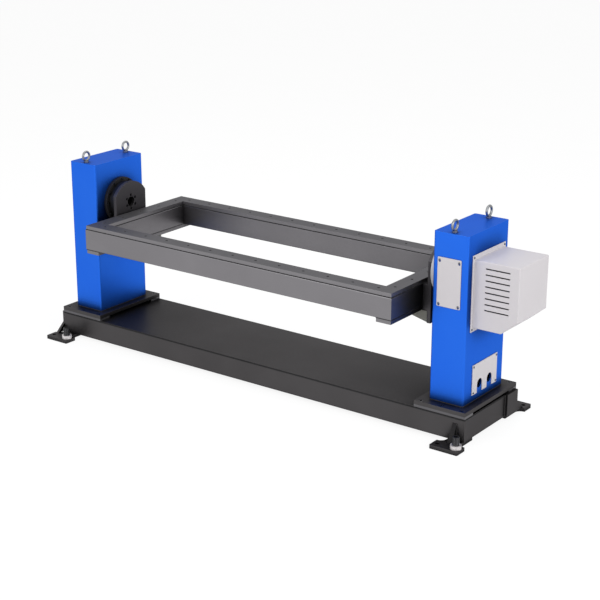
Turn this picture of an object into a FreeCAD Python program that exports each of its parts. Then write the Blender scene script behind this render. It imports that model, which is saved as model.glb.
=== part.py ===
import FreeCAD, Part
import math
import os
import Sketcher

# Welding positioner, millimetres. A long steel base stands on four foot plates and carries two posts.
# A rectangular fixture frame hangs between them on two arm plates and turns about one level axis.
# +X runs along that axis towards the driven post, +Y to the back, +Z up, and the floor is z = 0.
# The origin lies under the middle of the overall length and of the depth.

V = FreeCAD.Vector
doc = FreeCAD.newDocument("WeldingPositioner")
sheet = doc.addObject("Spreadsheet::Sheet", "Size")
pieces = []
row_count = 0


class Size:
    """A number together with the sheet expression that gives it."""

    def __init__(self, text, value):
        self.text = text
        self.value = float(value)

    def __add__(self, other):
        return joined(self, "+", other, self.value + value_of(other))

    def __radd__(self, other):
        return joined(other, "+", self, value_of(other) + self.value)

    def __sub__(self, other):
        return joined(self, "-", other, self.value - value_of(other))

    def __rsub__(self, other):
        return joined(other, "-", self, value_of(other) - self.value)

    def __mul__(self, other):
        return joined(self, "*", other, self.value * value_of(other))

    def __rmul__(self, other):
        return joined(other, "*", self, value_of(other) * self.value)

    def __truediv__(self, other):
        return joined(self, "/", other, self.value / value_of(other))

    def __neg__(self):
        return joined(0, "-", self, -self.value)


def value_of(number):
    return number.value if isinstance(number, Size) else float(number)


def text_of(number):
    return number.text if isinstance(number, Size) else repr(float(number))


def joined(left, sign, right, value):
    return Size("(%s %s %s)" % (text_of(left), sign, text_of(right)), value)


def whole(number):
    return Size("floor(%s)" % text_of(number), math.floor(value_of(number)))


def size(alias, number, note):
    """Write a driving dimension, or a formula of others, to the sheet and give it back."""
    global row_count
    row_count += 1
    formula = "=" + number.text.replace("Size.", "") if isinstance(number, Size) else repr(number)
    sheet.set("A%d" % row_count, note)
    sheet.set("B%d" % row_count, formula)
    sheet.setAlias("B%d" % row_count, alias)
    return Size("Size." + alias, value_of(number))


# Clearances
running = size("running_clearance", 0.05, "radial gap of a shaft in its bearing")
seat_gap = size("seat_gap", 0.15, "radial gap of a screw, spigot or ring in its hole")
face_gap = size("face_gap", 0.4, "axial gap between a turning face and a still one")
fitting = size("fitting_gap", 0.3, "radial gap of a housing in the wall it passes")

# Cap screws, as multiples of the radius of their shank
cap_radius = size("cap_radius_ratio", 1.5, "radius of the head")
cap_height = size("cap_height_ratio", 2, "height of the head")
hex_radius = size("hex_radius_ratio", 0.95, "hexagon socket, across corners")
hex_depth = size("hex_depth_ratio", 0.55, "its depth as a part of the height of the head")
recess_gap = size("recess_gap", 1, "radial gap of a head in its recess")
recess_sink = size("recess_sink", 0.5, "head below the face around its recess")

# Base
base_length = size("base_length", 2700, "base, along X")
base_depth = size("base_depth", 512, "base, along Y")
base_height = size("base_height", 120, "base, from its underside to its top")
top_plate = size("top_plate_thickness", 6, "top plate of the base")
seam = size("seam_chamfer", 2.5, "chamfers that meet in a seam under the top plate")
base_wall = size("base_wall", 8, "side channels and end plates")
channel_lip = size("channel_lip_width", 68, "lip of a side channel, with its web")
rib_count = size("base_rib_count", 6, "cross ribs in the base")
rib_plate = size("base_rib_thickness", 10, "one cross rib")

# Feet
foot_plate = size("foot_plate_thickness", 20, "foot plate")
foot_inset = size("foot_inset", 48, "foot centre in from the base end")
foot_bar_length = size("foot_bar_length", 157, "wide outer part of a foot plate, along X")
foot_bar_near = size("foot_bar_near", 46, "its near edge out from the side of the base")
foot_bar_far = size("foot_bar_far", 118, "its far edge out from the side of the base")
foot_stem_width = size("foot_stem_width", 85, "narrow part that lies under the base")
foot_stem_reach = size("foot_stem_reach", 91, "how far it lies under the base")
foot_neck = size("foot_neck_radius", 34, "hollow between stem and bar")
foot_corner = size("foot_corner_radius", 6, "outer corners of a foot plate")
foot_row = size("foot_hole_row", 82, "anchor hole and screw out from the side of the base")
anchor_offset = size("anchor_offset", 52, "anchor hole from the foot centre")
anchor_radius = size("anchor_radius", 11, "anchor hole")
jack_offset = size("jack_offset", 50, "levelling screw from the foot centre")
jack_radius = size("jack_radius", 18, "levelling screw, M36")
jack_length = size("jack_length", 82, "levelling screw")
jack_socket = size("jack_socket_radius", 11, "hexagon socket of the levelling screw, across corners")
jack_socket_depth = size("jack_socket_depth", 15, "its depth")
nut_radius = size("lock_nut_radius", 28, "round lock nut")
nut_height = size("lock_nut_height", 19, "round lock nut")
end_gusset = size("end_gusset_thickness", 15, "gusset on the end face of the base")
end_gusset_near = size("end_gusset_near", 111, "its inner edge in from the side of the base")
end_gusset_edge = size("end_gusset_edge", 6, "its upper outer edge in from the side of the base")
end_gusset_knee = size("end_gusset_knee", 55, "height of its slanting edge above the foot plate")
end_gusset_toe = size("end_gusset_toe", 56, "its toe out from the side of the base")
side_gusset = size("side_gusset_thickness", 24, "gusset on the side face of the base")
side_gusset_end = size("side_gusset_inset", 42, "its outer face in from the base end")
side_gusset_height = size("side_gusset_height", 90, "height above the foot plate")
side_gusset_toe = size("side_gusset_toe", 50, "its toe out from the side of the base")

# Posts
pad_thick = size("pad_thickness", 12, "machined pad between the base and a post flange")
pad_width = size("pad_width", 77, "pad, along Y")
flange_length = size("flange_length", 291, "post flange, along X")
flange_plate = size("flange_thickness", 20, "post flange")
post_inset = size("post_inset", 50, "outer face of a post in from the base end")
post_width = size("post_width", 192, "post, along X")
post_depth = size("post_depth", 388, "post, along Y")
post_height = size("post_height", 862, "post, above its flange")
post_wall = size("post_wall", 10, "walls of a post")
post_cap = size("post_cap_thickness", 20, "top plate of a post")
post_edge = size("post_edge_radius", 10, "upright edges of a post")
axis_height = size("axis_height", 800, "turning axis above the floor")
flange_screw = size("flange_screw_radius", 8, "screws of a post flange, M16")
flange_pitch = size("flange_screw_pitch", 115, "their pitch along X")
flange_edge = size("flange_screw_edge", 19, "their distance from the side of the flange")

# Lifting eyes
eye_inset = size("eye_inset", 32, "lifting eye from the face of the post")
eye_row = post_depth / 2 - eye_inset
eye_ring = size("eye_ring_radius", 24.6, "centre line of the ring")
eye_wire = size("eye_wire_radius", 6.4, "round section of the ring")
eye_collar = size("eye_collar_radius", 13, "collar")
eye_collar_height = size("eye_collar_height", 8, "collar")
eye_shank = size("eye_shank_radius", 10, "shank, M20")
eye_height = size("eye_height", 66, "top of the ring above the post")

# Turning frame
frame_depth = size("frame_depth", 808, "frame, along Y")
frame_drop = size("frame_drop", 48, "fixture face below the turning axis")
rail_width = size("rail_width", 92, "frame tube")
rail_height = size("rail_height", 114, "frame tube")
rail_wall = size("rail_wall", 8, "frame tube")
rail_corner = size("rail_corner_radius", 5, "outer corners of the frame tube")
strip_plate = size("strip_thickness", 22, "machined strips on and under the frame")
strip_width = size("strip_width", 85, "machined strips")
strip_end = size("strip_end_inset", 3, "strips in from the frame ends")
strip_side = size("strip_side_inset", 4, "strips in from the frame sides")
fixture_pitch = size("fixture_pitch", 150, "fixture holes")
fixture_hole = size("fixture_hole_radius", 7, "fixture holes, tapped M16")
long_margin = size("long_row_margin", 50, "least distance of a hole from the end of a long strip")
short_margin = size("short_row_margin", 15, "the same in a short strip")

# Arm plates and what stands beside them
arm_thick = size("arm_thickness", 20, "arm plate")
arm_half = size("arm_half_width", 122, "half width of an arm plate")
arm_top = size("arm_top", 117, "crown of an arm plate above the axis")
arm_shoulder = size("arm_shoulder", 50, "where its upright sides end above the axis")
arm_drop = size("arm_drop", 267, "lower edge of an arm plate below the axis")
arm_bore = size("arm_bore_radius", 28, "bore on the axis")
arm_circle = size("arm_screw_circle", 39, "radius of the inner screw circle")
arm_screw = size("arm_screw_radius", 5, "its screws, M10")
arm_grip = size("arm_screw_grip", 30, "their length under the head")
arm_thread = size("arm_thread_depth", 24, "their tapped holes in spindle and output flange")
block_thick = size("spacer_thickness", 28, "spacer between arm plate and frame")
block_width = size("spacer_width", 240, "spacer, along Y")
block_screw = size("spacer_screw_radius", 6, "screws of the spacer, M12")
block_pitch_y = size("spacer_screw_pitch_y", 180, "their pitch along Y")
block_pitch_z = size("spacer_screw_pitch_z", 60, "their pitch along Z")
knee_plate = size("arm_rib_thickness", 12, "rib under the frame at an arm plate")
knee_reach = size("arm_rib_reach", 113, "its reach under the frame")
knee_foot = size("arm_rib_foot", 4, "its lower end above the lower edge of the arm plate")
knee_tip = size("arm_rib_tip", 30, "its height at the tip")

# Tailstock
tail_flange = size("tail_flange_thickness", 18, "bearing housing flange")
tail_radius = size("tail_flange_radius", 131, "bearing housing flange")
tail_circle = size("tail_screw_circle", 121.5, "radius of its screw circle")
tail_count = size("tail_screw_count", 12, "its screws")
tail_screw = size("tail_screw_radius", 4, "its screws, M8")
tail_barrel = size("tail_barrel_radius", 80, "barrel of the housing inside the post")
tail_barrel_length = size("tail_barrel_length", 122, "barrel, behind the flange")
hub_radius = size("hub_radius", 111, "spindle flange")
hub_length = size("hub_length", 46, "spindle flange")
spindle_radius = size("spindle_radius", 45, "spindle journal")
bearing_outer = size("bearing_outer_radius", 65, "tail bearings")
bearing_width = size("bearing_width", 28, "tail bearings")
tail_shoulder = size("tail_shoulder_radius", 56, "housing bore between the bearings")
lock_ring = size("spindle_nut_radius", 62, "nut on the tail spindle")
lock_ring_width = size("spindle_nut_width", 18, "nut on the tail spindle")
spindle_tail = size("spindle_tail", 4, "end of the spindle beyond its nut")

# Headstock
head_length = size("head_ring_length", 50, "arm plate to the face of the driven post")
head_gap = size("head_gap", 2, "reducer flange short of the arm plate, and output flange of its bearing")
case_radius = size("case_radius", 135, "reducer flange")
case_recess = size("case_recess_radius", 113, "recess for the output flange")
case_boss = size("case_boss_radius", 108, "reducer body inside the post")
case_boss_length = size("case_boss_length", 84, "reducer body, behind the flange")
case_circle = size("case_screw_circle", 124.5, "radius of the reducer screw circle")
case_count = size("case_screw_count", 12, "reducer screws")
case_back = size("case_back_thickness", 14, "back wall of the reducer")
case_step = size("case_step", 10, "step of the reducer bore behind its bearing")
output_thick = size("output_flange_thickness", 24, "output flange")
journal_radius = size("output_journal_radius", 80, "output journal")
journal_length = size("output_journal_length", 40, "output journal")
head_bearing = size("output_bearing_radius", 100, "output bearing, outside")
head_bearing_width = size("output_bearing_width", 30, "output bearing")

# Gears and motor
tooth_module = size("tooth_module", 2, "gear module")
pinion_teeth = size("pinion_teeth", 20, "teeth of the motor pinion")
gear_teeth = size("gear_teeth", 50, "teeth of the centre gear")
gear_width = size("gear_width", 20, "centre gear")
gear_gap = size("gear_gap", 5, "centre gear behind the reducer")
pinion_extra = size("pinion_extra_width", 4, "pinion wider than the gear")
backlash = size("tooth_backlash", 0.3, "play between the flanks of two teeth")
gear_shaft = size("gear_shaft_radius", 20, "shaft of the centre gear")
gear_shaft_length = size("gear_shaft_length", 34, "shaft of the centre gear")
motor_side = size("motor_side", 130, "motor flange")
motor_flange = size("motor_flange_thickness", 12, "motor flange")
motor_radius = size("motor_radius", 62, "motor body")
motor_length = size("motor_length", 170, "motor, flange to rear cover")
motor_wall = size("motor_wall", 12, "motor casing")
motor_shaft = size("motor_shaft_radius", 11, "motor shaft")
motor_cover = size("motor_cover_length", 40, "rear cover of the motor")
motor_step = size("motor_cover_step", 3, "rear cover within the motor body, all round")
motor_circle = size("motor_screw_offset", 51.3, "motor screws from the shaft, each way")
rotor_radius = size("rotor_radius", 46, "rotor")
rotor_length = size("rotor_length", 120, "rotor")
rotor_gap = size("rotor_gap", 8, "rotor behind the front wall of the casing")
rotor_end = size("rotor_end_gap", 3, "motor shaft short of the rear cover")
adapter_side = size("adapter_side", 190, "motor adapter plate")
adapter_plate = size("adapter_thickness", 16, "motor adapter plate")
adapter_circle = size("adapter_screw_offset", 80, "its screws from the shaft, each way")
motor_hole = size("motor_hole_radius", 46, "hole for the pinion in adapter and post")

# Motor hood
hood_sheet = size("hood_sheet", 2.5, "hood, folded sheet")
hood_shift = size("hood_shift", 6, "middle of the hood towards the back")
hood_width = size("hood_width", 288, "hood body, along Y")
hood_height = size("hood_height", 342, "hood body, along Z")
hood_reach = size("hood_reach", 247, "hood body, along X")
hood_centre = size("hood_centre_drop", 62, "middle of the hood below the turning axis")
hood_slope_run = size("hood_slope_run", 89, "slope under the hood, along X")
hood_slope_rise = size("hood_slope_rise", 73, "slope under the hood, along Z")
hood_bend = size("hood_bend_radius", 5, "outer bends of the hood")
hood_lip_width = size("hood_flange_width", 316, "hood flange, along Y")
hood_lip_height = size("hood_flange_height", 386, "hood flange, along Z")
hood_lip_edge = size("hood_screw_edge", 12, "hood screws in from the flange edge")
louvre_count = size("louvre_count", 8, "louvres in each side of the hood")
louvre_pitch = size("louvre_pitch", 29.6, "their pitch")
louvre_length = size("louvre_length", 131, "louvre, along X")
louvre_slot = size("louvre_slot", 6.5, "louvre slot, along Z")
louvre_start = size("louvre_start", 65, "louvre from the back of the hood")
louvre_top = size("louvre_top_drop", 33, "highest louvre below the top of the hood")

# Covers on the driven post
cover_width = size("access_cover_width", 130, "access cover, along X")
cover_height = size("access_cover_height", 247, "access cover, along Z")
cover_sheet = size("cover_sheet", 3, "covers on the post")
cover_corner = size("cover_corner_radius", 4.5, "corners of the access cover")
cover_drop = size("access_cover_drop", 12, "middle of the access cover below the axis")
cover_shift = size("access_cover_shift", -4, "its middle from the middle of the post")
cover_margin = size("access_opening_margin", 18, "cover over the edge of its opening")
cover_edge = size("access_screw_edge", 11, "its screws in from the sides")
cover_edge_z = size("access_screw_edge_z", 14, "its screws in from top and bottom")
keyhole_head = size("keyhole_head_radius", 6.5, "wide end of a keyhole")
keyhole_drop = size("keyhole_drop", 11, "wide end below the screw")
cover_screw = size("cover_screw_radius", 3, "cover screws, M6")
cover_head = size("cover_head_radius", 5.2, "their heads")
cable_width = size("cable_plate_width", 242, "cable plate, along Y")
cable_height = size("cable_plate_height", 156, "cable plate, along Z")
cable_centre = size("cable_plate_centre", 285, "middle of the cable plate above the floor")
cable_shift = size("cable_plate_shift", 7, "its middle towards the back")
cable_radius = size("cable_hole_radius", 24.5, "cable holes")
cable_offset = size("cable_hole_offset", 48, "cable holes from the middle of the plate")
cable_drop = size("cable_hole_drop", 33, "cable holes below the middle of the plate")
cable_edge = size("cable_screw_edge", 10, "its screws in from the edges")

# Levels and faces that follow from the sizes above
base_top = size("base_top", foot_plate + base_height, "top of the base above the floor")
flange_top = size("flange_top", base_top + pad_thick + flange_plate, "foot of a post above the floor")
post_top = size("post_top", flange_top + post_height, "top of a post above the floor")
foot_reach = size("foot_reach", base_length / 2 - foot_inset + foot_bar_length / 2, "end of a foot plate")
post_outer = size("post_outer", base_length / 2 - post_inset, "outer face of a post from the base middle")
hood_end = size("hood_end", post_outer + hood_reach, "far side of the hood from the base middle")
middle = size("base_middle", (foot_reach - hood_end) / 2, "X of the middle of the base")
post_centre = size("post_centre", post_outer - post_width / 2, "middle of a post")
post_inner = size("post_inner", post_outer - post_width, "inner face of a post")
flange_centre = size("flange_centre", base_length / 2 - flange_length / 2, "middle of a post flange")
tail_arm = size("tail_arm", tail_flange + hub_length + arm_thick, "post to inner face of the tail arm")
head_arm = size("head_arm", head_length + arm_thick, "post to inner face of the driven arm")
frame_length = size("frame_length", 2 * post_inner - tail_arm - head_arm - 2 * block_thick, "frame")
frame_middle = size("frame_middle", middle + (tail_arm - head_arm) / 2, "X of the middle of the frame")
arm_span = size("arm_span", frame_length / 2 + block_thick, "inner face of an arm from the frame middle")
long_strip = size("long_strip", frame_length - 2 * strip_end, "long fixture strips, along X")
short_strip = size("short_strip", frame_depth - 2 * strip_side - 2 * strip_width, "short ones, along Y")
long_row = size("long_row_count", whole((long_strip - 2 * long_margin) / fixture_pitch) + 1, "its holes")
short_row = size("short_row_count", whole((short_strip - 2 * short_margin) / fixture_pitch) + 1, "its holes")
crown_rise = size("arm_crown_rise", arm_top - arm_shoulder, "crown of an arm plate above its shoulders")
crown = size("arm_crown_radius", (arm_half * arm_half + crown_rise * crown_rise) / (2 * crown_rise),
             "arc over the top of an arm plate")
flange_recess = size("flange_recess", flange_screw * cap_height + recess_sink, "recess of a flange screw")
block_recess = size("spacer_recess", block_screw * cap_height + recess_sink, "recess of a spacer screw")
arm_recess = size("arm_recess", arm_screw * cap_height + recess_sink, "recess of an arm plate screw")
strip_top = size("fixture_level", axis_height - frame_drop, "fixture face above the floor")
rail_middle = size("rail_level", strip_top - strip_plate - rail_height / 2, "middle of the rails")
rail_under = size("strip_level", rail_middle - rail_height / 2 - strip_plate, "lowest face of the frame")
pinion_pitch = size("pinion_pitch_radius", tooth_module * pinion_teeth / 2, "pitch circle of the pinion")
gear_pitch = size("gear_pitch_radius", tooth_module * gear_teeth / 2, "pitch circle of the centre gear")
motor_level = size("motor_level", axis_height - gear_pitch - pinion_pitch, "motor shaft above the floor")
gear_start = size("gear_start", middle + post_inner + case_boss_length + gear_gap, "X of the centre gear")
hood_level = size("hood_level", axis_height - hood_centre, "middle of the hood above the floor")
doc.recompute()


def bind(target, path, number):
    target.setExpression(path, text_of(number))


def place(target, x=0, y=0, z=0, axis=None, angle=0):
    if axis is not None:
        target.Placement = FreeCAD.Placement(V(0, 0, 0), FreeCAD.Rotation(axis, angle))
    bind(target, "Placement.Base.x", x)
    bind(target, "Placement.Base.y", y)
    bind(target, "Placement.Base.z", z)


def new_body(name, **where):
    body = doc.addObject("PartDesign::Body", name)
    body.Label = name
    body.AllowCompound = True
    place(body, **where)
    pieces.append(body)
    return body


def plane_of(body, role):
    return [item for item in body.Origin.OriginFeatures if item.Role == role][0]


def new_sketch(body, name, role, height=0, rise=0):
    """A sketch on an origin plane of the body, moved along the plane's normal and up in the plane."""
    sketch = body.newObject("Sketcher::SketchObject", body.Name + "_" + name)
    sketch.AttachmentSupport = (plane_of(body, role), [""])
    sketch.MapMode = "FlatFace"
    bind(sketch, "AttachmentOffset.Base.z", height)
    bind(sketch, "AttachmentOffset.Base.y", rise)
    return sketch


def pin_point(sketch, geometry, point, x, y):
    """Hold one point of the sketch at the place that two sizes give."""
    for kind, number, axis in (("DistanceX", x, -2), ("DistanceY", y, -1)):
        if isinstance(number, Size):
            index = sketch.addConstraint(Sketcher.Constraint(kind, geometry, point, number.value))
            sketch.setExpression("Constraints[%d]" % index, number.text)
        elif number == 0:
            sketch.addConstraint(Sketcher.Constraint("PointOnObject", geometry, point, axis))
        else:
            sketch.addConstraint(Sketcher.Constraint(kind, geometry, point, float(number)))


def outline(sketch, points):
    """A closed outline of straight lines."""
    first = sketch.GeometryCount
    spots = [V(value_of(x), value_of(y), 0) for x, y in points]
    total = len(spots)
    for index in range(total):
        sketch.addGeometry(Part.LineSegment(spots[index], spots[(index + 1) % total]), False)
    for index in range(total):
        following = first + (index + 1) % total
        sketch.addConstraint(Sketcher.Constraint("Coincident", first + index, 2, following, 1))
    for index, (x, y) in enumerate(points):
        pin_point(sketch, first + index, 1, x, y)


def rectangle(sketch, x_low, y_low, x_high, y_high):
    outline(sketch, [(x_low, y_low), (x_high, y_low), (x_high, y_high), (x_low, y_high)])


def circle(sketch, x, y, radius):
    centre = V(value_of(x), value_of(y), 0)
    geometry = sketch.addGeometry(Part.Circle(centre, V(0, 0, 1), value_of(radius)), False)
    pin_point(sketch, geometry, 3, x, y)
    index = sketch.addConstraint(Sketcher.Constraint("Radius", geometry, value_of(radius)))
    if isinstance(radius, Size):
        sketch.setExpression("Constraints[%d]" % index, radius.text)


def hexagon(sketch, x, y, radius):
    half = radius / 2
    tall = radius * (math.sqrt(3) / 2)
    outline(sketch, [(x + radius, y), (x + half, y + tall), (x - half, y + tall),
                     (x - radius, y), (x - half, y - tall), (x + half, y - tall)])


def feature(body, kind, name, sketch, length=None, reverse=False):
    made = body.newObject("PartDesign::" + kind, body.Name + "_" + name)
    made.Profile = sketch
    if length is None:
        made.Type = "ThroughAll"
    else:
        bind(made, "Length", length)
    made.Reversed = reverse
    return made


def pad(body, name, sketch, length, reverse=False):
    return feature(body, "Pad", name, sketch, length, reverse)


def pocket(body, name, sketch, length=None, reverse=False):
    """A cut that runs against the sketch's normal, or along it when reversed."""
    return feature(body, "Pocket", name, sketch, length, reverse)


def turned(body, name, points):
    """A solid of revolution about X through points given as place along X and radius."""
    sketch = new_sketch(body, name + "_profile", "XZ_Plane")
    outline(sketch, points)
    made = body.newObject("PartDesign::Revolution", body.Name + "_" + name)
    made.Profile = sketch
    made.ReferenceAxis = (sketch, ["H_Axis"])
    made.Angle = 360
    return made


def row(body, name, originals, sketch, axis, length, count):
    made = body.newObject("PartDesign::LinearPattern", body.Name + "_" + name)
    made.Direction = (sketch, [axis])
    bind(made, "Length", length)
    bind(made, "Occurrences", count)
    if originals:
        made.Originals = originals
        body.Tip = made
    return made


def grid(body, name, originals, sketch, length_h, count_h, length_v, count_v):
    """Copies in a rectangle, along both directions of a sketch."""
    across = row(body, name + "_across", None, sketch, "H_Axis", length_h, count_h)
    along = row(body, name + "_along", None, sketch, "V_Axis", length_v, count_v)
    made = body.newObject("PartDesign::MultiTransform", body.Name + "_" + name)
    made.Originals = originals
    made.Transformations = [across, along]
    body.Tip = made
    return made


def ring(body, name, originals, sketch, axis, count):
    made = body.newObject("PartDesign::PolarPattern", body.Name + "_" + name)
    made.Originals = originals
    made.Axis = (sketch, [axis])
    made.Angle = 360
    bind(made, "Occurrences", count)
    body.Tip = made
    return made


def edges_where(item, test):
    """Names of the straight edges of a feature that pass a test on their two ends."""
    doc.recompute()
    names = []
    for index, edge in enumerate(item.Shape.Edges):
        ends = [vertex.Point for vertex in edge.Vertexes]
        if len(ends) == 2 and test(ends[0], ends[1]):
            names.append("Edge%d" % (index + 1))
    return names


def rounded(body, name, item, radius, test, kind="Fillet"):
    made = body.newObject("PartDesign::" + kind, body.Name + "_" + name)
    made.Base = (item, edges_where(item, test))
    bind(made, "Radius" if kind == "Fillet" else "Size", radius)
    return made


def along_x(a, b):
    return abs(a.y - b.y) < 0.001 and abs(a.z - b.z) < 0.001


def along_y(a, b):
    return abs(a.x - b.x) < 0.001 and abs(a.z - b.z) < 0.001


def along_z(a, b):
    return abs(a.x - b.x) < 0.001 and abs(a.y - b.y) < 0.001


def one_screw(body, name, x, y, seat, radius, length, head_radius, head_height):
    """Head above the seat, shank below it and a hexagon socket in the head."""
    head_sketch = new_sketch(body, name + "_head_outline", "XY_Plane", seat)
    circle(head_sketch, x, y, head_radius)
    head = pad(body, name + "_head", head_sketch, head_height)
    shank_sketch = new_sketch(body, name + "_shank_outline", "XY_Plane", seat)
    circle(shank_sketch, x, y, radius)
    shank = pad(body, name + "_shank", shank_sketch, length, True)
    socket_sketch = new_sketch(body, name + "_socket_outline", "XY_Plane", seat + head_height)
    hexagon(socket_sketch, x, y, radius * hex_radius)
    socket = pocket(body, name + "_socket", socket_sketch, head_height * hex_depth)
    return [head, shank, socket], head_sketch


def cap_screw_grid(body, name, seat, radius, length, pitch_h, count_h, pitch_v, count_v):
    """Cap screws in a rectangle about the body's own Z axis."""
    span_h = pitch_h * (count_h - 1)
    span_v = pitch_v * (count_v - 1)
    parts, sketch = one_screw(body, name, -span_h / 2, -span_v / 2, seat, radius, length,
                              radius * cap_radius, radius * cap_height)
    return grid(body, name + "_grid", parts, sketch, span_h, count_h, span_v, count_v)


def cap_screw_ring(body, name, seat, radius, length, circle_radius, count):
    """Cap screws on a circle about the body's own Z axis."""
    parts, sketch = one_screw(body, name, circle_radius, 0, seat, radius, length,
                              radius * cap_radius, radius * cap_height)
    return ring(body, name + "_ring", parts, sketch, "N_Axis", count)


# Base: top plate over two side channels, two end plates and a row of cross ribs
def flange_spots():
    """Centres of the screws of both post flanges, from the middle of the base."""
    return [(side * flange_centre + step * flange_pitch, edge * (base_depth / 2 - flange_edge))
            for side in (-1, 1) for step in (-1, 0, 1) for edge in (-1, 1)]


plate = new_body("base_top_plate", x=middle, z=base_top - top_plate)
plate_sketch = new_sketch(plate, "outline", "XY_Plane")
rectangle(plate_sketch, -base_length / 2, -base_depth / 2, base_length / 2, base_depth / 2)
for spot_x, spot_y in flange_spots():
    circle(plate_sketch, spot_x, spot_y, flange_screw + seat_gap)
plate_pad = pad(plate, "plate", plate_sketch, top_plate)
rounded(plate, "seam", plate_pad, seam, lambda a, b: max(a.z, b.z) < 0.01, "Chamfer")

web_height = base_height - top_plate
web_top = web_height.value - 0.01
channel_length = base_length - 2 * base_wall
for name, side, angle in (("base_front_channel", -1, 0), ("base_rear_channel", 1, 180)):
    channel = new_body(name, x=middle, y=side * base_depth / 2, z=foot_plate, axis=V(0, 0, 1), angle=angle)
    section = new_sketch(channel, "section", "YZ_Plane", -channel_length / 2)
    outline(section, [(0, 0), (channel_lip, 0), (channel_lip, base_wall), (base_wall, base_wall),
                      (base_wall, web_height - base_wall), (channel_lip, web_height - base_wall),
                      (channel_lip, web_height), (0, web_height)])
    profile = pad(channel, "profile", section, channel_length)
    rounded(channel, "seam", profile, seam,
            lambda a, b: along_x(a, b) and a.y < 0.01 and a.z > web_top, "Chamfer")
    holes = new_sketch(channel, "screw_holes", "XY_Plane", web_height)
    for spot_x, spot_y in flange_spots():
        if value_of(spot_y) < 0:
            circle(holes, spot_x, flange_edge, flange_screw + seat_gap)
    pocket(channel, "screw_holes_cut", holes, base_wall)

for name, side, angle in (("base_left_end_plate", -1, 0), ("base_right_end_plate", 1, 180)):
    end = new_body(name, x=middle + side * base_length / 2, z=foot_plate, axis=V(0, 0, 1), angle=angle)
    end_sketch = new_sketch(end, "outline", "YZ_Plane")
    rectangle(end_sketch, -base_depth / 2, 0, base_depth / 2, web_height)
    end_pad = pad(end, "plate", end_sketch, base_wall)
    rounded(end, "seam", end_pad, seam,
            lambda a, b: min(a.z, b.z) > web_top and min(a.x, b.x) < 0.01, "Chamfer")

ribs = new_body("base_cross_ribs", x=middle - post_inner, z=foot_plate)
rib_sketch = new_sketch(ribs, "outline", "YZ_Plane", -rib_plate / 2)
rib_wide = base_depth / 2 - base_wall
rib_narrow = base_depth / 2 - channel_lip
rib_high = web_height - base_wall
outline(rib_sketch, [(-rib_narrow, 0), (rib_narrow, 0), (rib_narrow, base_wall), (rib_wide, base_wall),
                     (rib_wide, rib_high), (rib_narrow, rib_high), (rib_narrow, web_height),
                     (-rib_narrow, web_height), (-rib_narrow, rib_high), (-rib_wide, rib_high),
                     (-rib_wide, base_wall), (-rib_narrow, base_wall)])
rib = pad(ribs, "rib", rib_sketch, rib_plate)
row(ribs, "row", [rib], rib_sketch, "N_Axis", 2 * post_inner, rib_count)

# Feet: the same foot plate four times, the back pair turned half round
foot_x = base_length / 2 - foot_inset
corners = (("front_left", -1, -1, 0), ("front_right", 1, -1, 0),
           ("rear_left", -1, 1, 180), ("rear_right", 1, 1, 180))
for corner, side_x, side_y, angle in corners:
    foot = new_body("foot_plate_" + corner, x=middle + side_x * foot_x, y=side_y * base_depth / 2,
                    axis=V(0, 0, 1), angle=angle)
    foot_sketch = new_sketch(foot, "outline", "XY_Plane")
    bar = foot_bar_length / 2
    stem = foot_stem_width / 2
    outline(foot_sketch, [(-bar, -foot_bar_far), (bar, -foot_bar_far), (bar, -foot_bar_near),
                          (stem, -foot_bar_near), (stem, foot_stem_reach), (-stem, foot_stem_reach),
                          (-stem, -foot_bar_near), (-bar, -foot_bar_near)])
    circle(foot_sketch, -anchor_offset, -foot_row, anchor_radius)
    circle(foot_sketch, jack_offset, -foot_row, jack_radius + seat_gap)
    foot_pad = pad(foot, "plate", foot_sketch, foot_plate)
    neck_line = -foot_bar_near.value
    stem_line = stem.value
    necks = rounded(foot, "necks", foot_pad, foot_neck,
                    lambda a, b: along_z(a, b) and abs(abs(a.x) - stem_line) < 0.01
                    and abs(a.y - neck_line) < 0.01)
    far_line = -foot_bar_far.value
    rounded(foot, "corners", necks, foot_corner,
            lambda a, b: along_z(a, b) and abs(abs(a.x) - bar.value) < 0.01
            and abs(a.y - far_line) < 0.01)

for name, side, angle in (("end_gusset_front_left", -1, 0), ("end_gusset_rear_right", 1, 180)):
    gusset = new_body(name, x=middle + side * base_length / 2, y=side * base_depth / 2, z=foot_plate,
                      axis=V(0, 0, 1), angle=angle)
    gusset_sketch = new_sketch(gusset, "outline", "YZ_Plane")
    outline(gusset_sketch, [(end_gusset_near, 0), (end_gusset_near, base_height),
                            (end_gusset_edge, base_height), (end_gusset_edge, end_gusset_knee),
                            (-end_gusset_toe, 0)])
    pad(gusset, "plate", gusset_sketch, end_gusset, True)

for name, side, angle in (("side_gusset_front_right", 1, 0), ("side_gusset_rear_left", -1, 180)):
    gusset = new_body(name, x=middle + side * (base_length / 2 - side_gusset_end), y=-side * base_depth / 2,
                      z=foot_plate, axis=V(0, 0, 1), angle=angle)
    gusset_sketch = new_sketch(gusset, "outline", "YZ_Plane")
    outline(gusset_sketch, [(0, 0), (0, side_gusset_height), (-side_gusset_toe, 0)])
    pad(gusset, "plate", gusset_sketch, side_gusset, True)

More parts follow.
